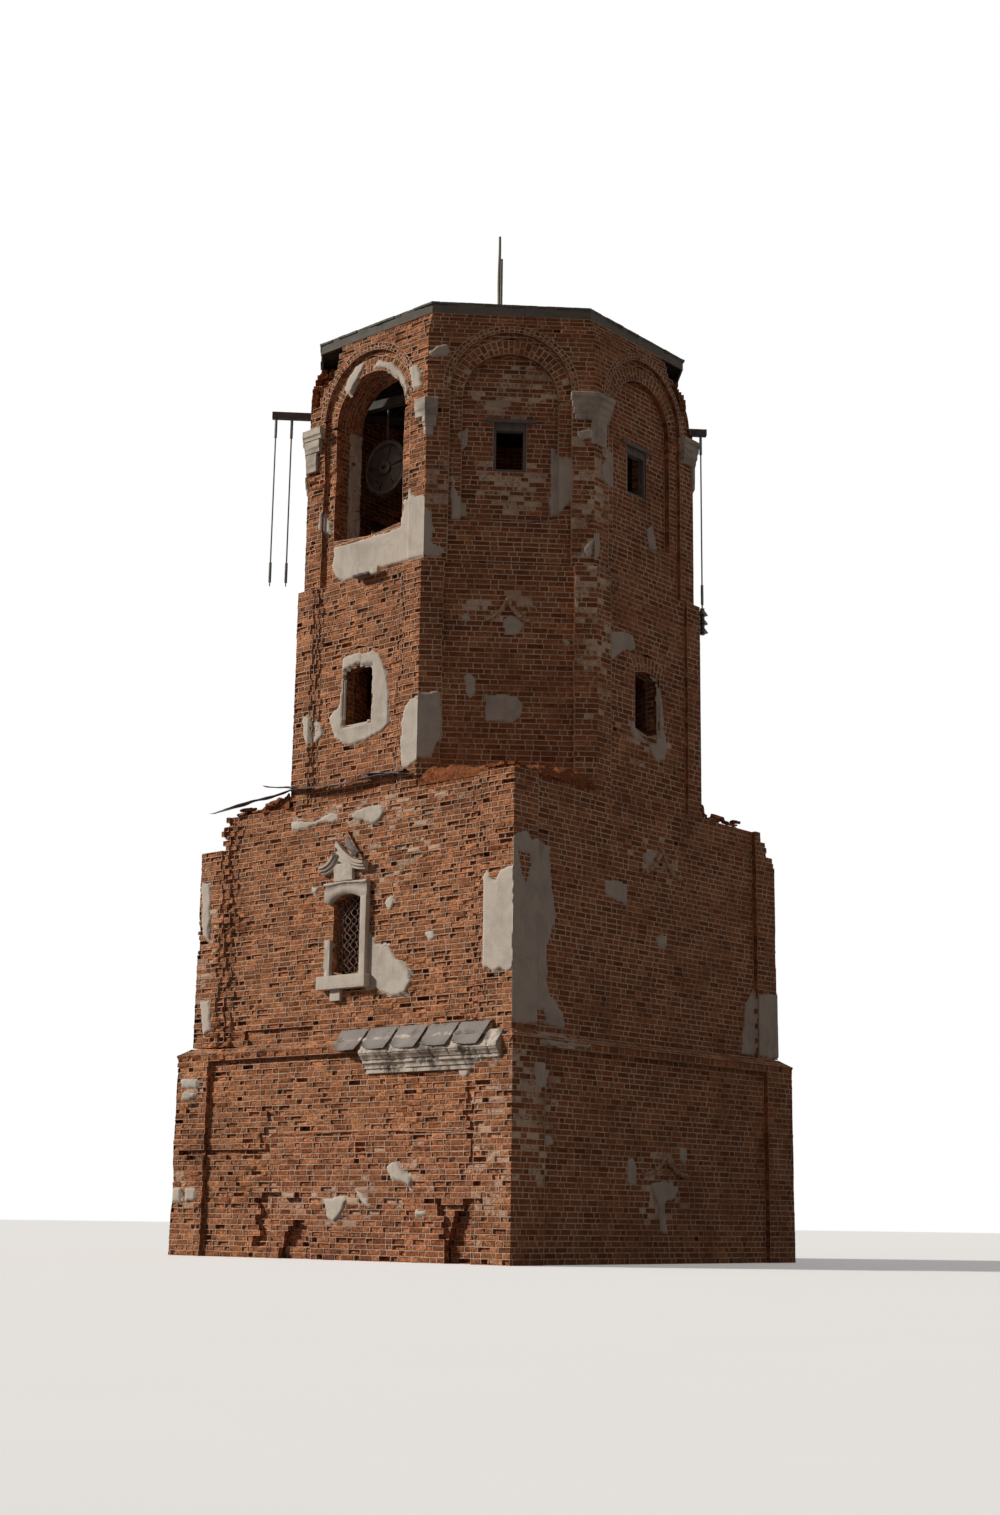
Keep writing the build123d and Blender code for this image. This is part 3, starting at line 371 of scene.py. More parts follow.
def lay(point, cells, depths, sided, decay, generator):
    """Bricks in their cells, each a rim of mortar round a worn brick, as rings of four points.

    The first ring is the cell's outline at the mortar's depth, the second is drawn in by half a
    joint, the third is the brick's arris and the fourth, drawn in further, its face. Weathering takes
    brick and mortar back by different depths, so either may stand proud; a lost brick leaves a
    deep socket. Sided cells get a skirt behind the first ring. Returns points, quads, and the
    tone, mortar and wear of each quad; the wear also sets how much painted shadow and highlight
    the brick material puts on the quad.
    """
    count = len(cells)
    u, v = cells[..., 0], cells[..., 1]
    flat = np.repeat(depths[:, None], 4, 1) + SKIN
    corners_at = point(u, v, flat)
    middles = corners_at.mean(1)
    crumbled, beside = sunk(middles)
    flat = flat + crumbled[:, None]
    sided = sided | beside
    pocket = pockets(middles) * decay
    lost = generator.random(count) < 0.022 * decay ** 2 + 0.13 * pocket ** 2
    age = generator.random(count)
    recess = 0.002 + decay * (0.014 * age + 0.036 * age ** 4) + 0.045 * pocket * generator.random(count)
    recess = np.where(lost, generator.uniform(0.07, 0.125, count), recess)
    bed = 0.0015 + decay * (0.001 + 0.013 * noise(corners_at, 0.11, 5)) + 0.030 * decay * pockets(corners_at)
    bed = flat + np.minimum(bed, SOCKET - 0.03)
    tone = generator.beta(2.2, 2.2, count)
    wear = np.clip(0.12 + decay * (0.35 + recess / 0.05), 0, 1)

    def drawn_in(amount_u, amount_v):
        return u + np.array([1, -1, -1, 1]) * amount_u, v + np.array([1, 1, -1, -1]) * amount_v

    joint_u, joint_v = 0.0078 + generator.uniform(-0.0018, 0.0022, (2, count, 4)) * (0.5 + decay)
    soft = (0.003 + 0.014 * decay) * np.where(lost, 0.3, 1.0)[:, None]
    inset_u, inset_v = generator.uniform(0.25, 1.0, (2, count, 4)) * soft
    tilt = generator.uniform(-1, 1, (count, 4)) * (0.0008 + 0.009 * decay)
    face = flat + np.clip(recess[:, None] + tilt, 0.001, SOCKET - 0.02)
    arris = np.where(lost[:, None], bed + 0.012, face + generator.uniform(0.2, 0.9, (count, 4)) * soft)
    rings = [
        point(*drawn_in(-0.0015, -0.0015), bed),
        point(*drawn_in(joint_u, joint_v), bed + 0.001),
        point(*drawn_in(joint_u, joint_v), arris),
        point(*drawn_in(joint_u + inset_u, joint_v + inset_v), face),
    ]
    points = np.concatenate(rings, 1)
    side = np.arange(4)
    after = (side + 1) % 4
    turns = [np.stack([ring + side, ring + after, ring + 4 + after, ring + 4 + side], -1) for ring in (0, 4, 8)]
    quads = np.concatenate([*turns, [[12, 13, 14, 15]]])
    start = np.arange(count)[:, None, None] * 16
    marks = np.array([1.0] * 4 + [0.6] * 4 + [0.0] * 5)
    smeared = (generator.random(count) < 0.85 * limed(middles)) * generator.uniform(0.25, 0.72, count)
    mortar = np.maximum(marks, smeared[:, None])
    skirt_front = rings[0][sided]
    skirt_back = point(u, v, flat + BACK + recess[:, None])[sided]
    skirt = np.concatenate([skirt_back, skirt_front], 1).reshape(-1, 3)
    skirt_start = np.arange(sided.sum())[:, None, None] * 8
    pieces = [
        (points.reshape(-1, 3), (start + quads).reshape(-1, 4), np.repeat(tone, 13), mortar.ravel(), np.repeat(wear, 13)),
        (skirt, (skirt_start + turns[0]).reshape(-1, 4), np.repeat(tone[sided], 4),
         np.full(4 * sided.sum(), 0.3), np.repeat(wear[sided], 4)),
    ]
    return gather(pieces)


def gather(pieces):
    """Joins (points, quads, tone, mortar, wear) pieces into one."""
    offset = 0
    placed = []
    for points, quads, *values in pieces:
        placed.append((points, quads + offset, *values))
        offset += len(points)
    return [np.concatenate(column) for column in zip(*placed)]


def lay_runs(point, runs_at, bottom, top, pitch, decay, generator, rim=False):
    """Courses from bottom to top, with the runs of brick that runs_at gives for each."""
    number = max(1, round((top - bottom) / pitch))
    levels = np.linspace(bottom, top, number + 1)
    levels[1:-1] += np.random.default_rng(number).uniform(-0.004, 0.004, number - 1)
    corners, depths, sided = [], [], []
    for index in range(number):
        low, high = levels[index:index + 2]
        edge = rim or index in (0, number - 1)
        cells, places, ends = course(runs_at(low, high), low, high, generator, edge)
        corners += cells
        depths += places
        sided += ends
    if not corners:
        return None
    return lay(point, *[np.concatenate(column) for column in (corners, depths, sided)], decay, generator)


def plain_patch(point, left, right, bottom, top, pitch, decay, generator, depth=0.0):
    """A rectangle of courses on any place."""
    runs = lambda low, high: [((left, left), (right, right), depth)]
    return lay_runs(point, runs, bottom, top, pitch, decay, generator)


def voussoirs(point, opening, rise, depth, decay, generator, pitch=0.085):
    """Bricks on edge round an arch's head: u along the intrados, v outwards."""
    radius, centre = arc_of(opening)
    reach = radius * np.arcsin(min(1.0, opening.width / 2 / radius))
    number = round(2 * reach / pitch)
    edges = np.linspace(-reach, reach, number + 1)
    left, right = edges[:-1], edges[1:]
    split = np.where(np.arange(number) % 2, 0.5, 0.36) * rise
    cells = []
    for low, high in ((np.zeros(number), split), (split, np.full(number, rise))):
        cells.append(np.stack([
            np.stack([left, low], -1), np.stack([right, low], -1),
            np.stack([right, high], -1), np.stack([left, high], -1),
        ], 1))
    cells = np.concatenate(cells)
    return lay(point, cells, np.full(len(cells), depth), np.full(len(cells), True), decay, generator)


def reveal_patches(place, opening, angle, near, far, decay, generator):
    """Brick on both side faces and the soffit of an opening, from near to far inwards."""
    pieces = []
    for side in (-1, 1):
        jamb = on_jamb(place, opening, angle, side)
        left, right = sorted((-side * near, -side * far))
        pieces.append(plain_patch(jamb, left, right, opening.sill, opening.spring, 0.087, decay, generator))
    radius, centre = arc_of(opening)
    reach = radius * np.arcsin(min(1.0, opening.width / 2 / radius))
    soffit = on_soffit(place, opening, angle)
    pieces.append(plain_patch(soffit, -reach, reach, near, far, 0.087, decay, generator))
    return pieces


def around(opening, low, high, grow, left, right, depth):
    """Runs on both sides of an opening, from left to right, whose ends follow its outline."""
    below = half_width(opening, low + 1e-4, grow)
    above = half_width(opening, high - 1e-4, grow)
    if max(below, above) == 0:
        return [((left, left), (right, right), depth)]
    middle = opening.middle
    return [
        ((left, left), (middle - below, middle - above), depth),
        ((middle + below, middle + above), (right, right), depth),
    ]


def kept_runs(runs, place_name, face, low, high, generator):
    """Runs cut short at a fallen corner, each course by a different length."""
    if (place_name, face) not in BREAKS:
        return runs
    end, edge = BREAKS[place_name, face]
    inset, heights = np.array(edge).T
    middle = (low + high) / 2
    if middle < heights[0]:
        return runs
    place = STOREYS[place_name]
    limit = place.apothem * tan(pi / place.sides) - np.interp(middle, heights, inset)
    limit -= generator.choice([0.0, 0.03, 0.07, 0.13]) - 0.03
    kept = []
    for left, right, depth in runs:
        if end > 0:
            right = tuple(min(value, limit) for value in right)
        else:
            left = tuple(max(value, -limit) for value in left)
        if right[0] > left[0] + 0.03:
            kept.append((left, right, depth))
    return kept


def hollowed(wall, place_name, face):
    """A left wall's place with its hollows: each takes depth (1 - (distance / radius)^2) off."""
    if face != "left" or place_name not in HOLLOWS:
        return wall

    def point(u, z, depth):
        for along, height in HOLLOWS[place_name]:
            away = ((u - along) ** 2 + (z - height) ** 2) / HOLLOW_RADIUS ** 2
            depth = depth + HOLLOW_DEPTH * np.clip(1 - away, 0, 1)
        return wall(u, z, depth)

    return point


def storey_runs(place_name, face, generator, opening=None, grow=0.0):
    """Runs of a plain storey wall: pilasters and frieze at the face, the field set back."""
    place = STOREYS[place_name]
    half = place.apothem * tan(pi / place.sides)
    inner = half - place.pilaster
    ragged = RAGGED_EDGES[place_name] * FACES[face][1]
    broken = ragged > 0.45

    def runs(low, high):
        middle = (low + high) / 2
        if middle > place.top - place.frieze:
            return [((-half, -half), (half, half), 0.0)]
        worn = generator.uniform(0.18, 0.40, 2) * (ragged if broken else 0.0)
        edge = inner + ragged * generator.uniform(-0.03, 0.12, 2)
        left, right = -edge[0] + worn[0], edge[1] - worn[1]
        field = [((left, left), (right, right), place.relief)]
        if opening:
            field = around(opening, low, high, grow, left, right, place.relief)
        sides = [((-half, -half), (-edge[0], -edge[0]), 0.0), ((edge[1], edge[1]), (half, half), 0.0)]
        if broken:
            split = generator.uniform(0.4, 0.6)
            mid_left, mid_right = left + split * (-edge[0] - left), right + split * (edge[1] - right)
            shallow, deep = place.relief * generator.uniform(0.15, 0.5), place.relief * generator.uniform(0.5, 0.95)
            sides.append(((-edge[0], -edge[0]), (mid_left, mid_left), shallow))
            sides.append(((mid_left, mid_left), (left, left), deep))
            sides.append(((right, right), (mid_right, mid_right), deep))
            sides.append(((mid_right, mid_right), (edge[1], edge[1]), shallow))
        return kept_runs(sides + field, place_name, face, low, high, generator)

    return runs


def ground_storey(face, generator):
    angle, decay = FACES[face]
    place = STOREYS["ground"]
    point = hollowed(on_wall(place, angle), "ground", face)
    opening = {"front": OLD_GATE._replace(spring=FILL_SEEN, crown=FILL_SEEN + 0.02), "back": DOORWAY}.get(face)
    rise = 0.30
    grow = rise if face == "back" else 0.0
    top = place.top - LEDGE_DROP
    runs = storey_runs("ground", face, generator, opening, grow)
    pieces = [lay_runs(point, runs, 0.0, place.top - place.frieze, 0.087, decay, generator)]
    pieces.append(lay_runs(point, runs, place.top - place.frieze, top, 0.087, decay, generator, True))
    if face == "back":
        pieces.append(voussoirs(on_arch(place, opening, angle), opening, rise, place.relief, decay, generator))
        pieces += reveal_patches(place, opening, angle, 0.2, place.wall, decay, generator)
    out, along = directions(angle)
    step = place.apothem - STOREYS["middle"].apothem
    slope = sqrt(step ** 2 + LEDGE_DROP ** 2)
    up = (-out * step + np.array([0, 0, LEDGE_DROP])) / slope
    normal = np.cross(along, up)
    ledge = on_plane(out * place.apothem + np.array([0, 0, top]), along, up, normal)
    ends = lambda low, high: [(
        (-place.apothem + low * step / slope, -place.apothem + high * step / slope),
        (place.apothem - low * step / slope, place.apothem - high * step / slope), 0.0)]
    pieces.append(lay_runs(ledge, ends, 0.0, slope, slope / 2, decay, generator))
    return pieces


def middle_storey(face, generator):
    angle, decay = FACES[face]
    place = STOREYS["middle"]
    opening = MIDDLE_WINDOW if face in ("front", "back") else None
    rise = 0.26
    grow = rise if opening else 0.0
    wall = hollowed(on_wall(place, angle), "middle", face)
    runs = storey_runs("middle", face, generator, opening, grow)
    pieces = [lay_runs(wall, runs, place.bottom, place.top, 0.087, decay, generator)]
    if opening:
        pieces.append(voussoirs(on_arch(place, opening, angle), opening, rise, place.relief, decay, generator))
        pieces += reveal_patches(place, opening, angle, place.relief + 0.1, REVEAL, decay, generator)
    return pieces


def octagon_storey(face, generator):
    angle, decay = FACES[face]
    place = STOREYS["octagon"]
    opening = OCTAGON_WINDOW if face in SQUARE_FACES else None
    rise = 0.26
    grow = rise if opening else 0.0
    runs = storey_runs("octagon", face, generator, opening, grow)
    pieces = [lay_runs(on_wall(place, angle), runs, place.bottom, place.top, 0.091, decay, generator)]
    if opening:
        pieces.append(voussoirs(on_arch(place, opening, angle), opening, rise, place.relief, decay, generator))
        pieces += reveal_patches(place, opening, angle, place.relief + 0.1, REVEAL, decay, generator)
    return pieces


def bell_storey(face, generator):
    angle, decay = FACES[face]
    place = STOREYS["bell"]
    half = place.apothem * tan(pi / place.sides)
    ring = 0.25
    archivolt = 0.12
    batter_foot = place.top - BATTER_HEIGHT

    def runs(low, high):
        middle = (low + high) / 2
        back = max(0.0, middle - batter_foot) * BATTER_RUN / BATTER_HEIGHT
        outer = around(BELL_PANEL, low, high, archivolt, -half, half, back)
        outer = kept_runs(outer, "bell", face, low, high, generator)
        panel_low = half_width(BELL_PANEL, low + 1e-4)
        panel_high = half_width(BELL_PANEL, high - 1e-4)
        if max(panel_low, panel_high) == 0:
            return outer
        arch_low = half_width(BELL_ARCH, low + 1e-4, ring)
        arch_high = half_width(BELL_ARCH, high - 1e-4, ring)
        if max(arch_low, arch_high) == 0:
            return outer + [((-panel_low, -panel_high), (panel_low, panel_high), place.relief)]
        return outer + [
            ((-panel_low, -panel_high), (-arch_low, -arch_high), place.relief),
            ((arch_low, arch_high), (panel_low, panel_high), place.relief),
        ]

    pieces = [lay_runs(on_wall(place, angle), runs, place.bottom, place.top, 0.087, decay, generator)]
    pieces.append(voussoirs(on_arch(place, BELL_ARCH, angle), BELL_ARCH, ring, place.relief, decay, generator))
    pieces.append(voussoirs(on_arch(place, BELL_PANEL, angle), BELL_PANEL, archivolt, 0.0, decay, generator))
    if face not in FILLED_FACES:
        pieces += reveal_patches(place, BELL_ARCH, angle, place.relief + 0.1, place.wall, decay, generator)
    else:
        pieces += reveal_patches(place, BELL_ARCH, angle, place.relief + 0.05, 0.2, decay, generator)
    return pieces


def span_at(outline, z):
    """Lowest and highest u where a level line at z cuts a closed outline, or None where it misses it."""
    points = np.array(outline)
    after = np.roll(points, -1, 0)
    low = np.minimum(points[:, 1], after[:, 1])
    high = np.maximum(points[:, 1], after[:, 1])
    crossed = (low <= z) & (z < high)
    if not crossed.any():
        return None
    a, b = points[crossed], after[crossed]
    places = a[:, 0] + (b[:, 0] - a[:, 0]) * (z - a[:, 1]) / (b[:, 1] - a[:, 1])
    return places.min(), places.max()


def fill_runs(opening, depth, holes):
    """Runs of brick that fill an opening, less any holes given as closed outlines."""
    def runs(low, high):
        below = half_width(opening, low + 1e-4)
        above = half_width(opening, high - 1e-4)
        if max(below, above) == 0:
            return []
        starts = [(opening.middle - below, opening.middle - above)]
        ends = []
        for hole in holes:
            cut = span_at(hole, (low + high) / 2)
            if cut:
                ends.append((cut[0], cut[0]))
                starts.append((cut[1], cut[1]))
        ends.append((opening.middle + below, opening.middle + above))
        return [(start, end, depth) for start, end in zip(starts, ends)]

    return runs


def ground_filling(face, generator):
    """Brick of the old gate's filling, and the rough brick at the back of the holes in its foot."""
    angle, decay = FACES[face]
    place = STOREYS["ground"]
    depth = place.relief + FILL_SETBACK
    filled = fill_runs(OLD_GATE, depth, FOOT_HOLES)
    wall = on_wall(place, angle)
    seen = lambda low, high: filled(low, high) if low < FILL_SEEN else []
    pieces = [lay_runs(wall, seen, 0.0, place.top - place.frieze, 0.087, decay, generator)]
    for hole in FOOT_HOLES:
        us, zs = np.array(hole).T
        back = plain_patch(wall, us.min(), us.max(), 0.0, zs.max(), 0.087, 1.3, generator, depth + HOLE_BACK)
        pieces.append(back)
    return pieces


def bell_filling(face, generator):
    angle, decay = FACES[face]
    place = STOREYS["bell"]
    depth = place.relief + ARCH_SETBACK
    half = BELL_WINDOW.width / 2
    window = [
        (-half, BELL_WINDOW.sill), (half, BELL_WINDOW.sill),
        (half, BELL_WINDOW.spring), (-half, BELL_WINDOW.spring),
    ]
    board = [
        (-LINTEL_REACH, BELL_WINDOW.spring), (LINTEL_REACH, BELL_WINDOW.spring),
        (LINTEL_REACH, BELL_WINDOW.crown), (-LINTEL_REACH, BELL_WINDOW.crown),
    ]
    wall = on_wall(place, angle)
    pieces = []
    lifts = [BELL_ARCH.sill, BELL_WINDOW.sill, BELL_WINDOW.spring, BELL_WINDOW.crown, BELL_ARCH.crown]
    for low, high in zip(lifts[:-1], lifts[1:]):
        runs = fill_runs(BELL_ARCH, depth, [window, board])
        pieces.append(lay_runs(wall, runs, low, high, 0.087, decay, generator))
    return pieces


# Core of the walls behind the laid brick

def merged(node):
    """A CAD node's points with doubles merged, and its triangles."""
    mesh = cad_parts[node].data
    co = np.zeros(len(mesh.vertices) * 3)
    mesh.vertices.foreach_get("co", co)
    triangles = np.zeros(len(mesh.loops), np.int64)
    mesh.loops.foreach_get("vertex_index", triangles)
    points, where = np.unique(co.reshape(-1, 3).round(5), axis=0, return_inverse=True)
    return points, where.reshape(-1)[triangles].reshape(-1, 3)


def core(node, place):
    """The CAD wall with its outer faces and reveals drawn in behind the laid brick.

    Each point moves to where its faces' planes meet after they are drawn in: the least squares
    answer of normal . move = -inset over the faces that share the point.
    """
    points, triangles = merged(node)
    a, b, c = (points[triangles[:, i]] for i in range(3))
    normals = np.cross(b - a, c - a)
    lengths = np.linalg.norm(normals, axis=1)
    triangles = triangles[lengths > 1e-9]
    normals = normals[lengths > 1e-9] / lengths[lengths > 1e-9][:, None]
    middle = points[triangles].mean(1)
    step = 2 * pi / place.sides
    turn = np.round(np.arctan2(middle[:, 0], -middle[:, 1]) / step) * step
    out = np.stack([np.sin(turn), -np.cos(turn), np.zeros(len(turn))], -1)
    facing = (normals * out).sum(1)
    level = np.minimum(abs(middle[:, 2] - place.bottom), abs(middle[:, 2] - place.top)) < 0.01
    inset = np.where(facing > 0.3, SOCKET, np.where(facing < -0.25, 0.0, REVEAL_INSET))
    inset = np.where(level & (abs(normals[:, 2]) > 0.9), 0.0, inset)
    products = normals[:, :, None] * normals[:, None, :]
    left = np.zeros((len(points), 3, 3))
    right = np.zeros((len(points), 3))
    for i in range(3):
        np.add.at(left, triangles[:, i], products)
        np.add.at(right, triangles[:, i], -inset[:, None] * normals)
    moved = points + np.einsum("nij,nj->ni", np.linalg.pinv(left, rcond=1e-4, hermitian=True), right)
    loose = moved[triangles]
    flat_on = abs(normals[:, None, 2]) > 0.7
    along = loose[..., 0] * -normals[:, None, 1] + loose[..., 1] * normals[:, None, 0]
    uv = np.stack([np.where(flat_on, loose[..., 0], along), np.where(flat_on, loose[..., 1], loose[..., 2])], -1)
    return loose.reshape(-1, 3), np.arange(loose.size // 3).reshape(-1, 3), uv.reshape(-1, 2)


# Meshes

def make_piece(name, points, faces, material, attributes=(), smooth=False, uv=None):
    """A new mesh object from arrays; a quad whose last two corners are the same is a triangle."""
    faces = np.asarray(faces)
    mesh = bpy.data.meshes.new(name)
    if faces.shape[1] == 4:
        three = faces[:, 2] == faces[:, 3]
    else:
        three = np.zeros(len(faces), bool)
    sizes = np.where(three, 3, faces.shape[1])
    keep = np.ones(faces.shape, bool)
    keep[three, -1] = False
    loops = faces[keep]
    starts = np.concatenate([[0], np.cumsum(sizes)[:-1]])
    mesh.vertices.add(len(points))
    mesh.vertices.foreach_set("co", np.asarray(points, np.float32).ravel())
    mesh.loops.add(len(loops))
    mesh.loops.foreach_set("vertex_index", loops.astype(np.int32))
    mesh.polygons.add(len(sizes))
    mesh.polygons.foreach_set("loop_start", starts.astype(np.int32))
    mesh.polygons.foreach_set("loop_total", sizes.astype(np.int32))
    mesh.polygons.foreach_set("use_smooth", np.full(len(sizes), smooth))
    for key, values in attributes:
        layer = mesh.attributes.new(key, "FLOAT", "FACE")
        layer.data.foreach_set("value", np.asarray(values, np.float32))
    if uv is not None:
        layer = mesh.uv_layers.new(name="grain")
        layer.data.foreach_set("uv", np.asarray(uv, np.float32)[loops].ravel())
    mesh.materials.append(material)
    mesh.update(calc_edges=True)
    mesh.validate()
    piece = bpy.data.objects.new(name, mesh)
    bpy.context.scene.collection.objects.link(piece)
    return piece


def grid_quads(rows, columns, wrap_rows=False, wrap_columns=False):
    """Quads between neighbouring points of a grid whose points are stored row by row."""
    index = np.arange(rows * columns).reshape(rows, columns)
    if wrap_rows:
        index = np.concatenate([index, index[:1]])
    if wrap_columns:
        index = np.concatenate([index, index[:, :1]], 1)
    low, high = index[:-1], index[1:]
    return np.stack([low[:, :-1], low[:, 1:], high[:, 1:], high[:, :-1]], -1).reshape(-1, 4)


def join(parts):
    """Joins (points, quads) parts into one."""
    points, quads = [], []
    offset = 0
    for p, q in parts:
        points.append(p.reshape(-1, 3))
        quads.append(q + offset)
        offset += len(points[-1])
    return np.concatenate(points), np.concatenate(quads)


def faced(points, quads):
    """A closed surface with its faces outwards: turned over where its signed volume is negative.

    The volume is the sum of a . (b x c + c x d) over its quads, up to a positive factor.
    """
    points = points.reshape(-1, 3)
    a, b, c, d = (points[quads[:, i]] - points.mean(0) for i in range(4))
    volume = (a * (np.cross(b, c) + np.cross(c, d))).sum()
    return points, quads if volume > 0 else quads[:, [1, 0, 3, 2]]


def capped(stations):
    """A closed tube through rings of points (K, M, 3), with a fan to the middle of each end ring."""
    count, around_it = stations.shape[:2]
    quads = grid_quads(count, around_it, wrap_columns=True)
    points = stations.reshape(-1, 3)
    ends = np.stack([stations[0].mean(0), stations[-1].mean(0)])
    ring = np.arange(around_it)
    after = np.roll(ring, -1)
    first = np.stack([np.full(around_it, len(points)), after, ring, ring], -1)
    last = (count - 1) * around_it
    second = np.stack([np.full(around_it, len(points) + 1), last + ring, last + after, last + after], -1)
    return faced(np.concatenate([points, ends]), np.concatenate([quads, first, second]))


BOX_FACES = np.array([[0, 3, 2, 1], [4, 5, 6, 7], [0, 1, 5, 4], [1, 2, 6, 5], [2, 3, 7, 6], [3, 0, 4, 7]])


def blocks(low_ring, high_ring):
    """Six-sided blocks between two rings of four corners each, (N, 4, 3) and (N, 4, 3)."""
    points = np.concatenate([low_ring, high_ring], 1)
    start = np.arange(len(points))[:, None, None] * 8
    return faced(points, (start + BOX_FACES).reshape(-1, 4))


def lathe(profile, steps, origin, axis="z"):
    """A profile of (radius, height) points turned about an upright or a level axis."""
    profile = np.array(profile, float)
    turn = np.linspace(0, 2 * pi, steps, endpoint=False)
    r, h = profile[:, 0][:, None], np.repeat(profile[:, 1][:, None], steps, 1)
    x, y = r * np.cos(turn), r * np.sin(turn)
    rings = np.stack([x, y, h] if axis == "z" else [x, -h, y], -1)
    return faced(rings + np.array(origin), grid_quads(len(profile), steps, wrap_columns=True))


def along_path(path, across, rise, profile):
    """A closed profile (M, 2) carried along a path (K, 3): path + x across + y rise at each station."""
    profile = np.array(profile, float)
    rings = path[:, None] + profile[None, :, :1] * across[:, None] + profile[None, :, 1:] * rise[:, None]
    return capped(rings)


def worn_block(low, high, place, seed, radius=0.012, step=0.04, rough=0.004):
    """A block in a place's own (u, z, depth) with rounded, worn edges.

    Each side is a grid. A grid point is drawn to the block less a margin, then pushed out again
    by that margin along the line between them, and noise takes a little more off.
    """
    low, high = np.array(low, float), np.array(high, float)
    radius = min(radius, (high - low).min() * 0.45)
    parts = []
    for axis in range(3):
        first, second = [i for i in range(3) if i != axis]
        counts = [max(3, int((high[i] - low[i]) / step) + 2) for i in (first, second)]
        a, b = np.meshgrid(*[np.linspace(0, 1, n) for n in counts], indexing="ij")
        for end in (0, 1):
            share = np.zeros(a.shape + (3,))
            share[..., first] = a
            share[..., second] = b
            share[..., axis] = end
            at = low + share * (high - low)
            kept = np.clip(at, low + radius, high - radius)
            away = at - kept
            away = away / np.maximum(np.linalg.norm(away, axis=-1, keepdims=True), 1e-9)
            worn = (rough_noise(at + 7.0 * seed, 0.09, seed) - 0.2) * rough * 2
            at = kept + away * (radius - worn[..., None])
            quads = grid_quads(*a.shape)
            if (end == 0) == (axis != 1):
                quads = quads[:, ::-1]
            parts.append((place(at[..., 0], at[..., 1], at[..., 2]), quads[:, ::-1]))
    return faced(*join(parts))


def free_place(centre, turn, lean=0.0):
    """Place for a loose block: turned about Z by an angle in degrees and leant about its length."""
    a, b = np.radians([turn, lean])
    along = np.array([np.cos(a), np.sin(a), 0.0])
    out = np.array([np.sin(a) * np.cos(b), -np.cos(a) * np.cos(b), np.sin(b)])
    return on_plane(centre, along, np.cross(out, along) * -1.0, out)


def swept(wall, curve, profile, seed, rough=0.003):
    """A moulding on a wall: profile points (offset, projection) carried along a (u, z) curve.

    The offset runs square to the curve within the wall's plane, and the projection out of it.
    """
    curve = np.array(curve, float)
    tangent = np.gradient(curve, axis=0)
    tangent = tangent / np.linalg.norm(tangent, axis=1)[:, None]
    square = np.stack([-tangent[:, 1], tangent[:, 0]], -1)
    offset, proud = np.array(profile, float).T
    u = curve[:, :1] + square[:, :1] * offset
    z = curve[:, 1:] + square[:, 1:] * offset
    spots = np.stack([u, z, np.zeros(u.shape) + proud], -1)
    wear = (rough_noise(spots, 0.08, seed) - 0.3) * 2 * rough
    return capped(wall(u, z, -(proud - np.where(proud > 0, wear, 0.0))))


def bezier(start, first, second, end, count=18):
    """Points on a cubic curve from start to end, pulled towards two others."""
    t = np.linspace(0, 1, count)[:, None]
    a, b, c, d = [np.array(p, float) for p in (start, first, second, end)]
    return (1 - t) ** 3 * a + 3 * (1 - t) ** 2 * t * b + 3 * (1 - t) * t ** 2 * c + t ** 3 * d


def field_of(place_name, face):
    """Place on a storey's wall whose depth starts at its sunk field."""
    place = STOREYS[place_name]
    wall = on_wall(place, FACES[face][0])
    return lambda u, z, depth: wall(u, z, depth + place.relief)


def shell(top, thickness):
    """A thin closed sheet under a grid of points (R, C, 3)."""
    rows, columns = top.shape[:2]
    count = rows * columns
    quads = grid_quads(rows, columns)
    under = top - np.array([0.0, 0.0, thickness])
    index = np.arange(count).reshape(rows, columns)
    ring = np.concatenate([index[0], index[1:, -1], index[-1, -2::-1], index[-2:0:-1, 0]])
    after = np.roll(ring, -1)
    rim = np.stack([ring, ring + count, after + count, after], -1)
    points = np.concatenate([top.reshape(-1, 3), under.reshape(-1, 3)])
    return faced(points, np.concatenate([quads, quads[:, ::-1] + count, rim]))


def round_corner(place, first_angle, second_angle, left, right, profile, seed, wear=0.004):
    """A moulding round a corner of a storey: its (z, projection) profile on two faces in turn."""
    half = place.apothem * tan(pi / place.sides)
    first, second = on_wall(place, first_angle), on_wall(place, second_angle)
    z, proud = np.array(profile, float).T
    steps = max(3, int(left / 0.05) + 1), max(3, int(right / 0.05) + 1)
    on_first = np.linspace(half - left, half + 0.3, steps[0] + 1)[:, None] + 0 * z
    on_second = np.linspace(-half - 0.3, -half + right, steps[1] + 1)[:, None] + 0 * z
    rings = []
    for wall, u in ((first, on_first), (second, on_second)):
        spots = np.stack([u, z + 0 * u, proud + 0 * u], -1)
        worn = np.where(proud > 0, (rough_noise(spots + seed, 0.10, seed) - 0.3) * 2 * wear, 0.0)
        rings.append(wall(u, z + 0 * u, worn - proud))
    return capped(np.concatenate([rings[0][:-1], rings[0][-1:], rings[1][1:]]))


# Stucco

def outline_distance(outline, u, z):
    """Distance of points from a closed outline, positive inside it."""
    a = np.array(outline, float)
    b = np.roll(a, -1, 0)
    point = np.stack([u, z], -1)[..., None, :]
    edge = b - a
    share = np.clip(((point - a) * edge).sum(-1) / (edge ** 2).sum(-1), 0, 1)
    nearest = a + share[..., None] * edge
    distance = np.sqrt(((point - nearest) ** 2).sum(-1)).min(-1)
    level = (a[:, 1] > point[..., 1]) != (b[:, 1] > point[..., 1])
    rise = np.where(edge[:, 1] == 0, 1e-9, edge[:, 1])
    crossing = a[:, 0] + edge[:, 0] * (point[..., 1] - a[:, 1]) / rise
    inside = (level & (point[..., 0] < crossing)).sum(-1) % 2 == 1
    return np.where(inside, distance, -distance)


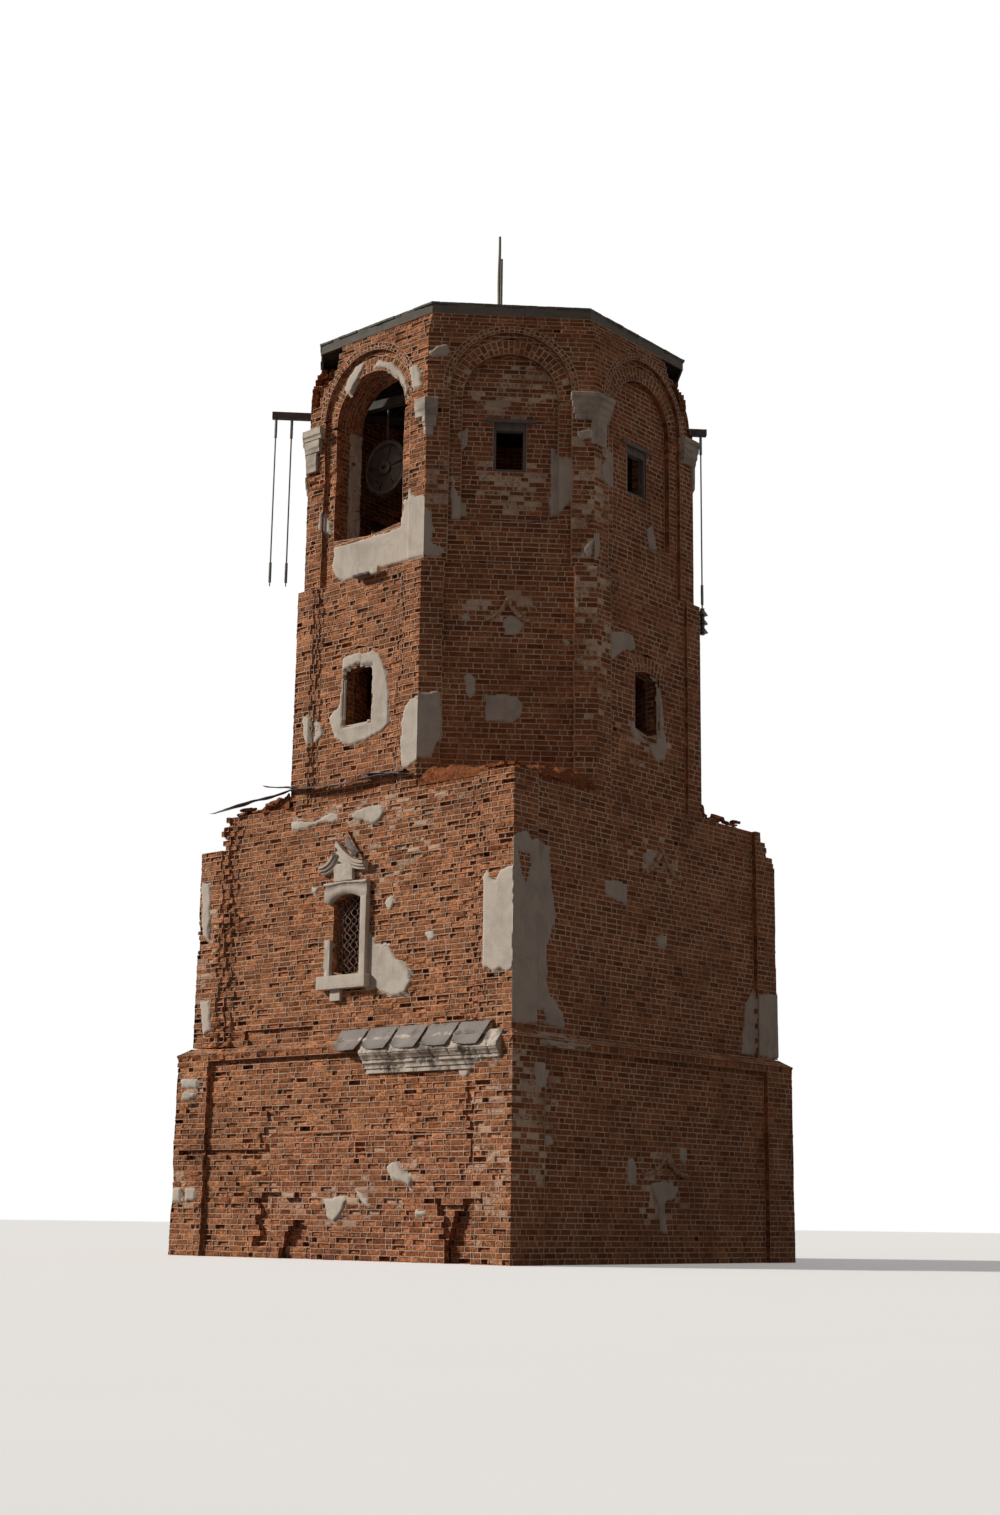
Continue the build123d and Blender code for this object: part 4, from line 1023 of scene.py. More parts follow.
def relief_at(place_name, face, u, z):
    """Depth of a storey's unworn face: 0 on pilasters, frieze and archivolt, more in the field."""
    place = STOREYS[place_name]
    half = place.apothem * tan(pi / place.sides)
    if place_name == "bell":
        radius = BELL_PANEL.width / 2
        arch = np.hypot(u, np.maximum(z - BELL_PANEL.spring, 0)) < radius
        batter = np.maximum(z - (place.top - BATTER_HEIGHT), 0) * BATTER_RUN / BATTER_HEIGHT
        filled = np.hypot(u, np.maximum(z - BELL_ARCH.spring, 0)) < BELL_ARCH.width / 2
        filled &= (z > BELL_ARCH.sill) & (face in FILLED_FACES)
        return np.where(arch, place.relief, batter) + ARCH_SETBACK * filled
    raised = (abs(u) > half - place.pilaster) | (z > place.top - place.frieze)
    return np.where(raised, 0.0, place.relief)


STUCCO_STEP = 0.029
SLAB_GREY = (0.24, 0.21, 0.19)


def stucco_patch(face, place_name, outline, seed, proud=0.0, ragged=0.035, holes=(), extra=0.0):
    """A remnant of stucco: a sheet over the brick that dips into it past a ragged outline.

    Its depth is the wall's own, plus a step down to below the brick where the distance to the
    outline, shifted by noise, falls to nothing.
    """
    place = STOREYS[place_name]
    wall = on_wall(place, FACES[face][0])
    corners = np.array(outline)
    low, high = corners.min(0) - ragged, corners.max(0) + ragged
    us = np.arange(low[0], high[0] + STUCCO_STEP, STUCCO_STEP)
    zs = np.arange(low[1], high[1] + STUCCO_STEP, STUCCO_STEP)
    u, z = np.meshgrid(us, zs)
    flat = wall(u, z, np.zeros(u.shape))
    edge = outline_distance(outline, u, z) + (rough_noise(flat, 0.16, seed) - 0.5) * 2.6 * ragged
    for hole in holes:
        edge = np.minimum(edge, ragged * (rough_noise(flat, 0.12, seed + 9) - 0.5) * 2 - outline_distance(hole, u, z))
    lift = np.clip(edge / 0.014, 0, 1)
    swell = rough_noise(flat, 0.35, seed + 3) * 0.007 + noise(flat, 0.05, seed + 4) * 0.0015
    base = relief_at(place_name, face, u, z) + extra
    depth = base + 0.055 - lift * 0.055 + swell - proud * lift
    points = wall(u, z, np.maximum(depth, 0.001))
    quads = grid_quads(*u.shape)
    near = (edge.reshape(-1)[quads] > -0.015).any(1)
    return points.reshape(-1, 3), quads[near]


def hold(piece, slot, *nodes):
    """The piece rides on the tower and stands for the named nodes, which are hidden; the slot is not used."""
    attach(piece, "root")
    if nodes:
        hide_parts(*nodes)


def build_walls(place_name, layer, node, faces, seed, slot="old_brick"):
    """Two pieces of masonry for one wall node: its core, and the bricks of each of its faces."""
    place = STOREYS[place_name]
    generator = np.random.default_rng(seed)
    points, triangles, uv = core(node, place)
    hold(make_piece(node + "_core", points, triangles, inner_brick_material(), uv=uv), slot)
    pieces = []
    for face in faces:
        pieces += [piece for piece in layer(face, generator) if piece is not None]
    points, quads, tones, mortars, wear = gather(pieces)
    values = [("tone", tones), ("mortar", mortars), ("wear", wear)]
    piece = make_piece(node + "_bricks", points, quads, brick_material(slot), values)
    hold(piece, slot, node)
    return piece


# Materials

def add(tree, kind, inputs=None, **settings):
    """A node with its settings, and each input set to a value or linked from a socket."""
    made = tree.nodes.new(kind)
    for key, value in settings.items():
        setattr(made, key, value)
    for key, value in (inputs or {}).items():
        socket = made.inputs[key]
        if isinstance(value, bpy.types.NodeSocket):
            tree.links.new(value, socket)
        else:
            socket.default_value = value
    return made


def mix(tree, factor, first, second, blend="MIX"):
    """Colour mix of two sockets or colours."""
    made = add(tree, "ShaderNodeMix", {0: factor}, data_type="RGBA", blend_type=blend)
    for index, value in ((6, first), (7, second)):
        if isinstance(value, bpy.types.NodeSocket):
            tree.links.new(value, made.inputs[index])
        else:
            made.inputs[index].default_value = value
    return made.outputs[2]


def reckon(tree, operation, first, second=0.0, third=0.0):
    """Result of a math node."""
    made = add(tree, "ShaderNodeMath", {0: first, 1: second, 2: third}, operation=operation)
    return made.outputs[0]


def between(tree, value, low, high, to_low=0.0, to_high=1.0):
    """Value mapped from low..high to another range and kept inside it."""
    ends = {0: value, 1: low, 2: high, 3: to_low, 4: to_high}
    return add(tree, "ShaderNodeMapRange", ends, clamp=True).outputs[0]


def grain(tree, vector, scale, detail=4.0, roughness=0.6, distortion=0.0):
    """Noise texture value at a scale per metre."""
    inputs = {"Vector": vector, "Scale": scale, "Detail": detail, "Roughness": roughness, "Distortion": distortion}
    return add(tree, "ShaderNodeTexNoise", inputs).outputs[0]


def colour(values, alpha=1.0):
    return (values[0], values[1], values[2], alpha)


def new_group(name, inputs, outputs):
    """An empty shader node group with named sockets: (name, kind, default) in and (name, kind) out."""
    tree = bpy.data.node_groups.new(name, "ShaderNodeTree")
    for label, kind, default in inputs:
        socket = tree.interface.new_socket(label, in_out="INPUT", socket_type="NodeSocket" + kind)
        socket.default_value = default
    for label, kind in outputs:
        tree.interface.new_socket(label, in_out="OUTPUT", socket_type="NodeSocket" + kind)
    return tree, add(tree, "NodeGroupInput"), add(tree, "NodeGroupOutput")


def finish_group(tree, exit_node, results):
    for label, socket in results.items():
        tree.links.new(socket, exit_node.inputs[label])
    return tree


def brick_group():
    """Fired brick in lime mortar: kiln colours by brick, pits and crumbs with painted shadow and highlight, lime bloom
    and soot.
    """
    tree, entry, leave = new_group("Weathered Brick", [
        ("Pale Brick", "Color", (0.4, 0.2, 0.1, 1)), ("Deep Brick", "Color", (0.2, 0.07, 0.03, 1)),
        ("Mortar Colour", "Color", (0.5, 0.45, 0.4, 1)), ("Tone", "Float", 0.5), ("Mortar", "Float", 0.0),
        ("Wear And Light", "Float", 0.5), ("Bloom", "Float", 0.3), ("Soot", "Float", 0.3),
    ], [("Color", "Color"), ("Roughness", "Float"), ("Height", "Float")])
    place = add(tree, "ShaderNodeTexCoord").outputs["Object"]
    wear = entry.outputs["Wear And Light"]
    blotch = grain(tree, place, 1.7, 5, 0.62)
    crumbs = grain(tree, place, 19.0, 5, 0.72, 0.5)
    fine = grain(tree, place, 75.0, 4, 0.7)
    body = mix(tree, entry.outputs["Tone"], entry.outputs["Deep Brick"], entry.outputs["Pale Brick"])
    # Painted shadow and highlight: the crumb noise scales the brick colour from 0.36 to 2.25 times on worn faces and
    # from 0.68 to 1.0 times on little-worn ones. Worn faces so carry painted mottled shade and light of crumbled
    # brick, partly also real pale dust and dark pits, and little-worn faces are painted darker.
    low = between(tree, wear, 0.0, 1.0, 0.68, 0.36)
    high = between(tree, wear, 0.0, 1.0, 1.00, 2.25)
    crumb_shade_and_wear = add(tree, "ShaderNodeMapRange", {0: crumbs, 1: 0.36, 2: 0.64, 3: low, 4: high}, clamp=True).outputs[0]
    body = mix(tree, 1.0, body, crumb_shade_and_wear, "MULTIPLY")
    body = mix(tree, 1.0, body, between(tree, fine, 0.3, 0.7, 0.78, 1.20), "MULTIPLY")
    body = mix(tree, 1.0, body, between(tree, blotch, 0.3, 0.7, 0.72, 1.24), "MULTIPLY")
    mortar = mix(tree, 1.0, entry.outputs["Mortar Colour"], between(tree, fine, 0.3, 0.7, 0.75, 1.15), "MULTIPLY")
    washed = between(tree, grain(tree, place, 1.9, 5, 0.7), 0.47, 0.60, 0.0, 0.50)
    dusty = between(tree, wear, 0.25, 0.62, 0.0, 0.48)
    mortar = mix(tree, reckon(tree, "MAXIMUM", washed, dusty), mortar, body)
    flecks = reckon(tree, "MULTIPLY", reckon(tree, "SUBTRACT", crumbs, 0.5), 0.9)
    limy = between(tree, reckon(tree, "ADD", entry.outputs["Mortar"], flecks), 0.42, 0.60)
    laid = mix(tree, limy, body, mortar)
    bloom = between(tree, grain(tree, place, 2.6, 6, 0.72, 0.4), 0.58, 0.78)
    bloom = reckon(tree, "MULTIPLY", bloom, entry.outputs["Bloom"])
    bloom = reckon(tree, "MULTIPLY", bloom, between(tree, wear, 0.2, 0.6, 0.25, 1.0))
    bloom = reckon(tree, "MULTIPLY", bloom, between(tree, crumbs, 0.45, 0.62))
    laid = mix(tree, bloom, laid, (0.60, 0.44, 0.32, 1))
    soot = between(tree, grain(tree, place, 0.9, 6, 0.6, 0.3), 0.5, 0.8)
    laid = mix(tree, reckon(tree, "MULTIPLY", soot, entry.outputs["Soot"]), laid, (0.07, 0.028, 0.014, 1))
    height = reckon(tree, "ADD", reckon(tree, "MULTIPLY", crumbs, wear), reckon(tree, "MULTIPLY", fine, 0.12))
    rough = between(tree, fine, 0.2, 0.8, 0.85, 0.98)
    return finish_group(tree, leave, {"Color": laid, "Roughness": rough, "Height": height})


def stucco_group():
    """Lime stucco: pale coat with grey weather stains, fine pits and rusty dust."""
    tree, entry, leave = new_group("Old Stucco", [
        ("Coat", "Color", (0.6, 0.55, 0.48, 1)), ("Stain Colour", "Color", (0.2, 0.15, 0.11, 1)),
        ("Stain", "Float", 0.5),
    ], [("Color", "Color"), ("Roughness", "Float"), ("Height", "Float")])
    place = add(tree, "ShaderNodeTexCoord").outputs["Object"]
    blotch = grain(tree, place, 2.2, 7, 0.7, 0.6)
    fine = grain(tree, place, 60.0, 4, 0.65)
    streaks = add(tree, "ShaderNodeMapping", {"Vector": place, "Scale": (9.0, 9.0, 0.9)})
    run = grain(tree, streaks.outputs[0], 1.0, 5, 0.6)
    stain = reckon(tree, "MULTIPLY", between(tree, blotch, 0.45, 0.75), entry.outputs["Stain"])
    stain = reckon(tree, "ADD", stain, reckon(tree, "MULTIPLY", between(tree, run, 0.55, 0.8), 0.35))
    coat = mix(tree, 1.0, entry.outputs["Coat"], between(tree, fine, 0.3, 0.7, 0.82, 1.08), "MULTIPLY")
    coat = mix(tree, add(tree, "ShaderNodeClamp", {"Value": stain}).outputs[0], coat, entry.outputs["Stain Colour"])
    height = reckon(tree, "ADD", reckon(tree, "MULTIPLY", fine, 0.4), reckon(tree, "MULTIPLY", blotch, 0.6))
    return finish_group(tree, leave, {"Color": coat, "Roughness": between(tree, fine, 0.2, 0.8, 0.8, 0.95), "Height": height})


def wood_group():
    """Weathered board: long grain along local Z of the mapped vector, knots and grey bleaching."""
    tree, entry, leave = new_group("Weathered Wood", [
        ("Vector", "Vector", (0, 0, 0)), ("Summer Wood", "Color", (0.2, 0.15, 0.1, 1)),
        ("Winter Wood", "Color", (0.06, 0.04, 0.03, 1)), ("Bleach", "Float", 0.3), ("Tone", "Float", 0.5),
    ], [("Color", "Color"), ("Roughness", "Float"), ("Height", "Float")])
    fibres = grain(tree, entry.outputs["Vector"], 55.0, 6, 0.65, 0.5)
    broad = grain(tree, entry.outputs["Vector"], 9.0, 4, 0.6, 1.0)
    body = mix(tree, between(tree, fibres, 0.3, 0.7), entry.outputs["Winter Wood"], entry.outputs["Summer Wood"])
    body = mix(tree, 1.0, body, between(tree, broad, 0.3, 0.7, 0.6, 1.3), "MULTIPLY")
    body = mix(tree, 1.0, body, between(tree, entry.outputs["Tone"], 0.0, 1.0, 0.65, 1.35), "MULTIPLY")
    place = add(tree, "ShaderNodeTexCoord").outputs["Object"]
    bleach = between(tree, grain(tree, place, 3.0, 5, 0.6), 0.45, 0.7)
    body = mix(tree, reckon(tree, "MULTIPLY", bleach, entry.outputs["Bleach"]), body, (0.20, 0.20, 0.18, 1))
    return finish_group(tree, leave, {"Color": body, "Roughness": between(tree, fibres, 0.2, 0.8, 0.75, 0.95), "Height": fibres})


def iron_group():
    """Old iron: a dark skin broken by rust blooms and pits."""
    tree, entry, leave = new_group("Rusty Iron", [
        ("Skin", "Color", (0.08, 0.07, 0.06, 1)), ("Rust Colour", "Color", (0.22, 0.09, 0.035, 1)),
        ("Rust", "Float", 0.5), ("Scale", "Float", 1.0),
    ], [("Color", "Color"), ("Roughness", "Float"), ("Metallic", "Float"), ("Height", "Float")])
    place = add(tree, "ShaderNodeTexCoord").outputs["Object"]
    scaled = add(tree, "ShaderNodeVectorMath", {0: place, 1: (1, 1, 1)}, operation="MULTIPLY")
    tree.links.new(entry.outputs["Scale"], scaled.inputs[1])
    bloom = grain(tree, scaled.outputs[0], 7.0, 7, 0.7, 0.3)
    pits = grain(tree, scaled.outputs[0], 70.0, 4, 0.7)
    edge = reckon(tree, "SUBTRACT", 1.0, entry.outputs["Rust"])
    rust = between(tree, bloom, edge, reckon(tree, "ADD", edge, 0.16))
    rusty = mix(tree, 1.0, entry.outputs["Rust Colour"], between(tree, pits, 0.3, 0.7, 0.5, 1.4), "MULTIPLY")
    skin = mix(tree, 1.0, entry.outputs["Skin"], between(tree, pits, 0.3, 0.7, 0.8, 1.15), "MULTIPLY")
    return finish_group(tree, leave, {
        "Color": mix(tree, rust, skin, rusty), "Roughness": between(tree, rust, 0.0, 1.0, 0.48, 0.92),
        "Metallic": between(tree, rust, 0.0, 1.0, 0.75, 0.0),
        "Height": reckon(tree, "ADD", reckon(tree, "MULTIPLY", rust, 0.6), reckon(tree, "MULTIPLY", pits, 0.4)),
    })


def shared(build):
    """The node group that a function builds, made once."""
    name = {
        brick_group: "Weathered Brick", stucco_group: "Old Stucco",
        wood_group: "Weathered Wood", iron_group: "Rusty Iron",
    }[build]
    return bpy.data.node_groups.get(name) or build()


def surfaced(name, build, values, bump, distance, specular=0.5):
    """A material: one shared group that feeds a Principled shader's colour, roughness and normal."""
    made = bpy.data.materials.new("aged_" + name)
    made.use_nodes = True
    tree = made.node_tree
    shader = tree.nodes["Principled BSDF"]
    effect = add(tree, "ShaderNodeGroup", node_tree=shared(build))
    for key, value in values.items():
        if isinstance(value, str):
            source = add(tree, "ShaderNodeAttribute", attribute_name=value)
            tree.links.new(source.outputs["Fac"], effect.inputs[key])
        else:
            effect.inputs[key].default_value = value
    tree.links.new(effect.outputs["Color"], shader.inputs["Base Color"])
    tree.links.new(effect.outputs["Roughness"], shader.inputs["Roughness"])
    if "Metallic" in effect.outputs:
        tree.links.new(effect.outputs["Metallic"], shader.inputs["Metallic"])
    relief = add(tree, "ShaderNodeBump", {"Strength": bump, "Distance": distance, "Height": effect.outputs["Height"]})
    tree.links.new(relief.outputs[0], shader.inputs["Normal"])
    shader.inputs["Specular IOR Level"].default_value = specular
    return made, tree, effect


def brick_material(name):
    """Old brick of the tower, or the redder brick of its fillings."""
    if "aged_" + name in bpy.data.materials:
        return bpy.data.materials["aged_" + name]
    tones = bpy.context.scene.tower_colours
    pale, deep = {
        "old_brick": (tones.pale_brick, tones.deep_brick),
        "infill_brick": (tones.infill_pale, tones.infill_deep),
    }[name]
    values = {
        "Pale Brick": colour(pale), "Deep Brick": colour(deep), "Mortar Colour": colour(tones.mortar),
        "Tone": "tone", "Mortar": "mortar", "Wear And Light": "wear", "Bloom": 0.55, "Soot": 0.45,
    }
    return surfaced(name, brick_group, values, 0.9, 0.045, 0.12)[0]


def inner_brick_material():
    """Brick of the walls' inner faces: courses drawn on a map in metres, with the old brick's colours."""
    if "aged_inner_brick" in bpy.data.materials:
        return bpy.data.materials["aged_inner_brick"]
    tones = bpy.context.scene.tower_colours
    values = {
        "Pale Brick": colour(tones.pale_brick), "Deep Brick": colour(tones.deep_brick),
        "Mortar Colour": colour(tones.mortar), "Wear And Light": 0.45, "Bloom": 0.5, "Soot": 0.2,
    }
    made, tree, effect = surfaced("inner_brick", brick_group, values, 0.6, 0.012, 0.12)
    place = add(tree, "ShaderNodeTexCoord").outputs["UV"]
    laid = add(tree, "ShaderNodeTexBrick", {
        "Vector": place, "Color1": (0, 0, 0, 1), "Color2": (1, 1, 1, 1), "Mortar": (0.5, 0.5, 0.5, 1), "Scale": 1.0,
        "Mortar Size": 0.006, "Mortar Smooth": 0.2, "Brick Width": 0.275, "Row Height": 0.087,
    })
    tree.links.new(laid.outputs["Color"], effect.inputs["Tone"])
    tree.links.new(laid.outputs["Fac"], effect.inputs["Mortar"])
    return made


def stucco_material(name, stain=0.5, coat=None):
    """Lime stucco with more or less grey stain."""
    if "aged_" + name in bpy.data.materials:
        return bpy.data.materials["aged_" + name]
    coat = colour(coat or bpy.context.scene.tower_colours.stucco)
    stained = (0.20, 0.165, 0.135, 1) if stain < 3 else (0.115, 0.098, 0.088, 1)
    values = {"Coat": coat, "Stain Colour": stained, "Stain": stain}
    return surfaced(name, stucco_group, values, 0.4, 0.006, 0.2)[0]


def wood_material(name, summer, winter, bleach=0.3, stretch=(1.0, 1.0, 0.06), by_piece=False):
    """Old timber; its grain runs along one object axis, or along V of a piece's own map."""
    if "aged_" + name in bpy.data.materials:
        return bpy.data.materials["aged_" + name]
    values = {"Summer Wood": colour(summer), "Winter Wood": colour(winter), "Bleach": bleach}
    if by_piece:
        values["Tone"] = "tone"
    made, tree, effect = surfaced(name, wood_group, values, 0.5, 0.003)
    coordinates = add(tree, "ShaderNodeTexCoord")
    source = coordinates.outputs["UV" if by_piece else "Object"]
    mapped = add(tree, "ShaderNodeMapping", {"Vector": source, "Scale": stretch})
    tree.links.new(mapped.outputs[0], effect.inputs["Vector"])
    return made


def iron_material(name, skin, rust_colour, rust, scale=1.0):
    """Old iron or sheet with more or less rust."""
    if "aged_" + name in bpy.data.materials:
        return bpy.data.materials["aged_" + name]
    values = {"Skin": colour(skin), "Rust Colour": colour(rust_colour), "Rust": rust, "Scale": scale}
    return surfaced(name, iron_group, values, 0.4, 0.002)[0]


def dress(material, *nodes):
    """The material on CAD nodes whose shape stays."""
    for node in nodes:
        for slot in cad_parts[node].material_slots:
            slot.material = material


# Settings

def colour_setting(name, text, default):
    return bpy.props.FloatVectorProperty(name=name, description=text, default=default, subtype="COLOR", size=3, min=0, max=1)


class TowerColours(bpy.types.PropertyGroup):
    pale_brick: colour_setting("Pale Brick", "Colour of the palest old bricks", (0.52, 0.215, 0.094))
    deep_brick: colour_setting("Deep Brick", "Colour of the darkest old bricks", (0.19, 0.058, 0.020))
    infill_pale: colour_setting("Pale Infill", "Colour of the palest bricks in the fillings", (0.50, 0.200, 0.090))
    infill_deep: colour_setting("Deep Infill", "Colour of the darkest bricks in the fillings", (0.19, 0.055, 0.022))
    mortar: colour_setting("Mortar", "Colour of the lime mortar", (0.86, 0.66, 0.49))
    stucco: colour_setting("Stucco", "Colour of the lime stucco", (0.62, 0.54, 0.45))


class TowerLight(bpy.types.PropertyGroup):
    key: bpy.props.FloatProperty(name="Key Light", description="Strength of the key light", default=3.2, min=0)
    fill: bpy.props.FloatProperty(name="Fill Light", description="Strength of the light from all sides", default=0.132, min=0)


# Operators

class BuildStep(bpy.types.Operator):
    """One step of the tower"""
    bl_options = {"REGISTER", "UNDO"}


class TOWER_OT_ground_walls(BuildStep):
    """Lay the brick of the lowest storey"""
    bl_idname = "tower.ground_walls"
    bl_label = "Ground Walls"

    def execute(self, context):
        for index, face in enumerate(SQUARE_FACES):
            build_walls("ground", ground_storey, f"ground_{face}_wall", [face], 10 + index)
        return {"FINISHED"}


class TOWER_OT_middle_walls(BuildStep):
    """Lay the brick of the square middle storey"""
    bl_idname = "tower.middle_walls"
    bl_label = "Middle Walls"

    def execute(self, context):
        for index, face in enumerate(SQUARE_FACES):
            build_walls("middle", middle_storey, f"middle_{face}_wall", [face], 20 + index)
        return {"FINISHED"}


class TOWER_OT_octagon_walls(BuildStep):
    """Lay the brick of the lower octagon"""
    bl_idname = "tower.octagon_walls"
    bl_label = "Octagon Walls"

    def execute(self, context):
        for index, face in enumerate(SQUARE_FACES):
            build_walls("octagon", octagon_storey, f"octagon_{face}_wall", [face], 30 + index)
        build_walls("octagon", octagon_storey, "octagon_diagonal_walls", DIAGONAL_FACES, 35)
        return {"FINISHED"}


class TOWER_OT_bell_walls(BuildStep):
    """Lay the brick of the bell storey with its arches"""
    bl_idname = "tower.bell_walls"
    bl_label = "Bell Storey Walls"

    def execute(self, context):
        for index, face in enumerate(SQUARE_FACES):
            build_walls("bell", bell_storey, f"bell_{face}_wall", [face], 40 + index)
        build_walls("bell", bell_storey, "bell_diagonal_walls", DIAGONAL_FACES, 45)
        return {"FINISHED"}


class TOWER_OT_fillings(BuildStep):
    """Lay the later brick that fills the old gate and six of the upper arches"""
    bl_idname = "tower.fillings"
    bl_label = "Brick Fillings"

    def execute(self, context):
        build_walls("ground", ground_filling, "ground_front_infill", ["front"], 50, "infill_brick")
        build_walls("bell", bell_filling, "bell_arch_infills", FILLED_FACES, 51, "infill_brick")
        return {"FINISHED"}


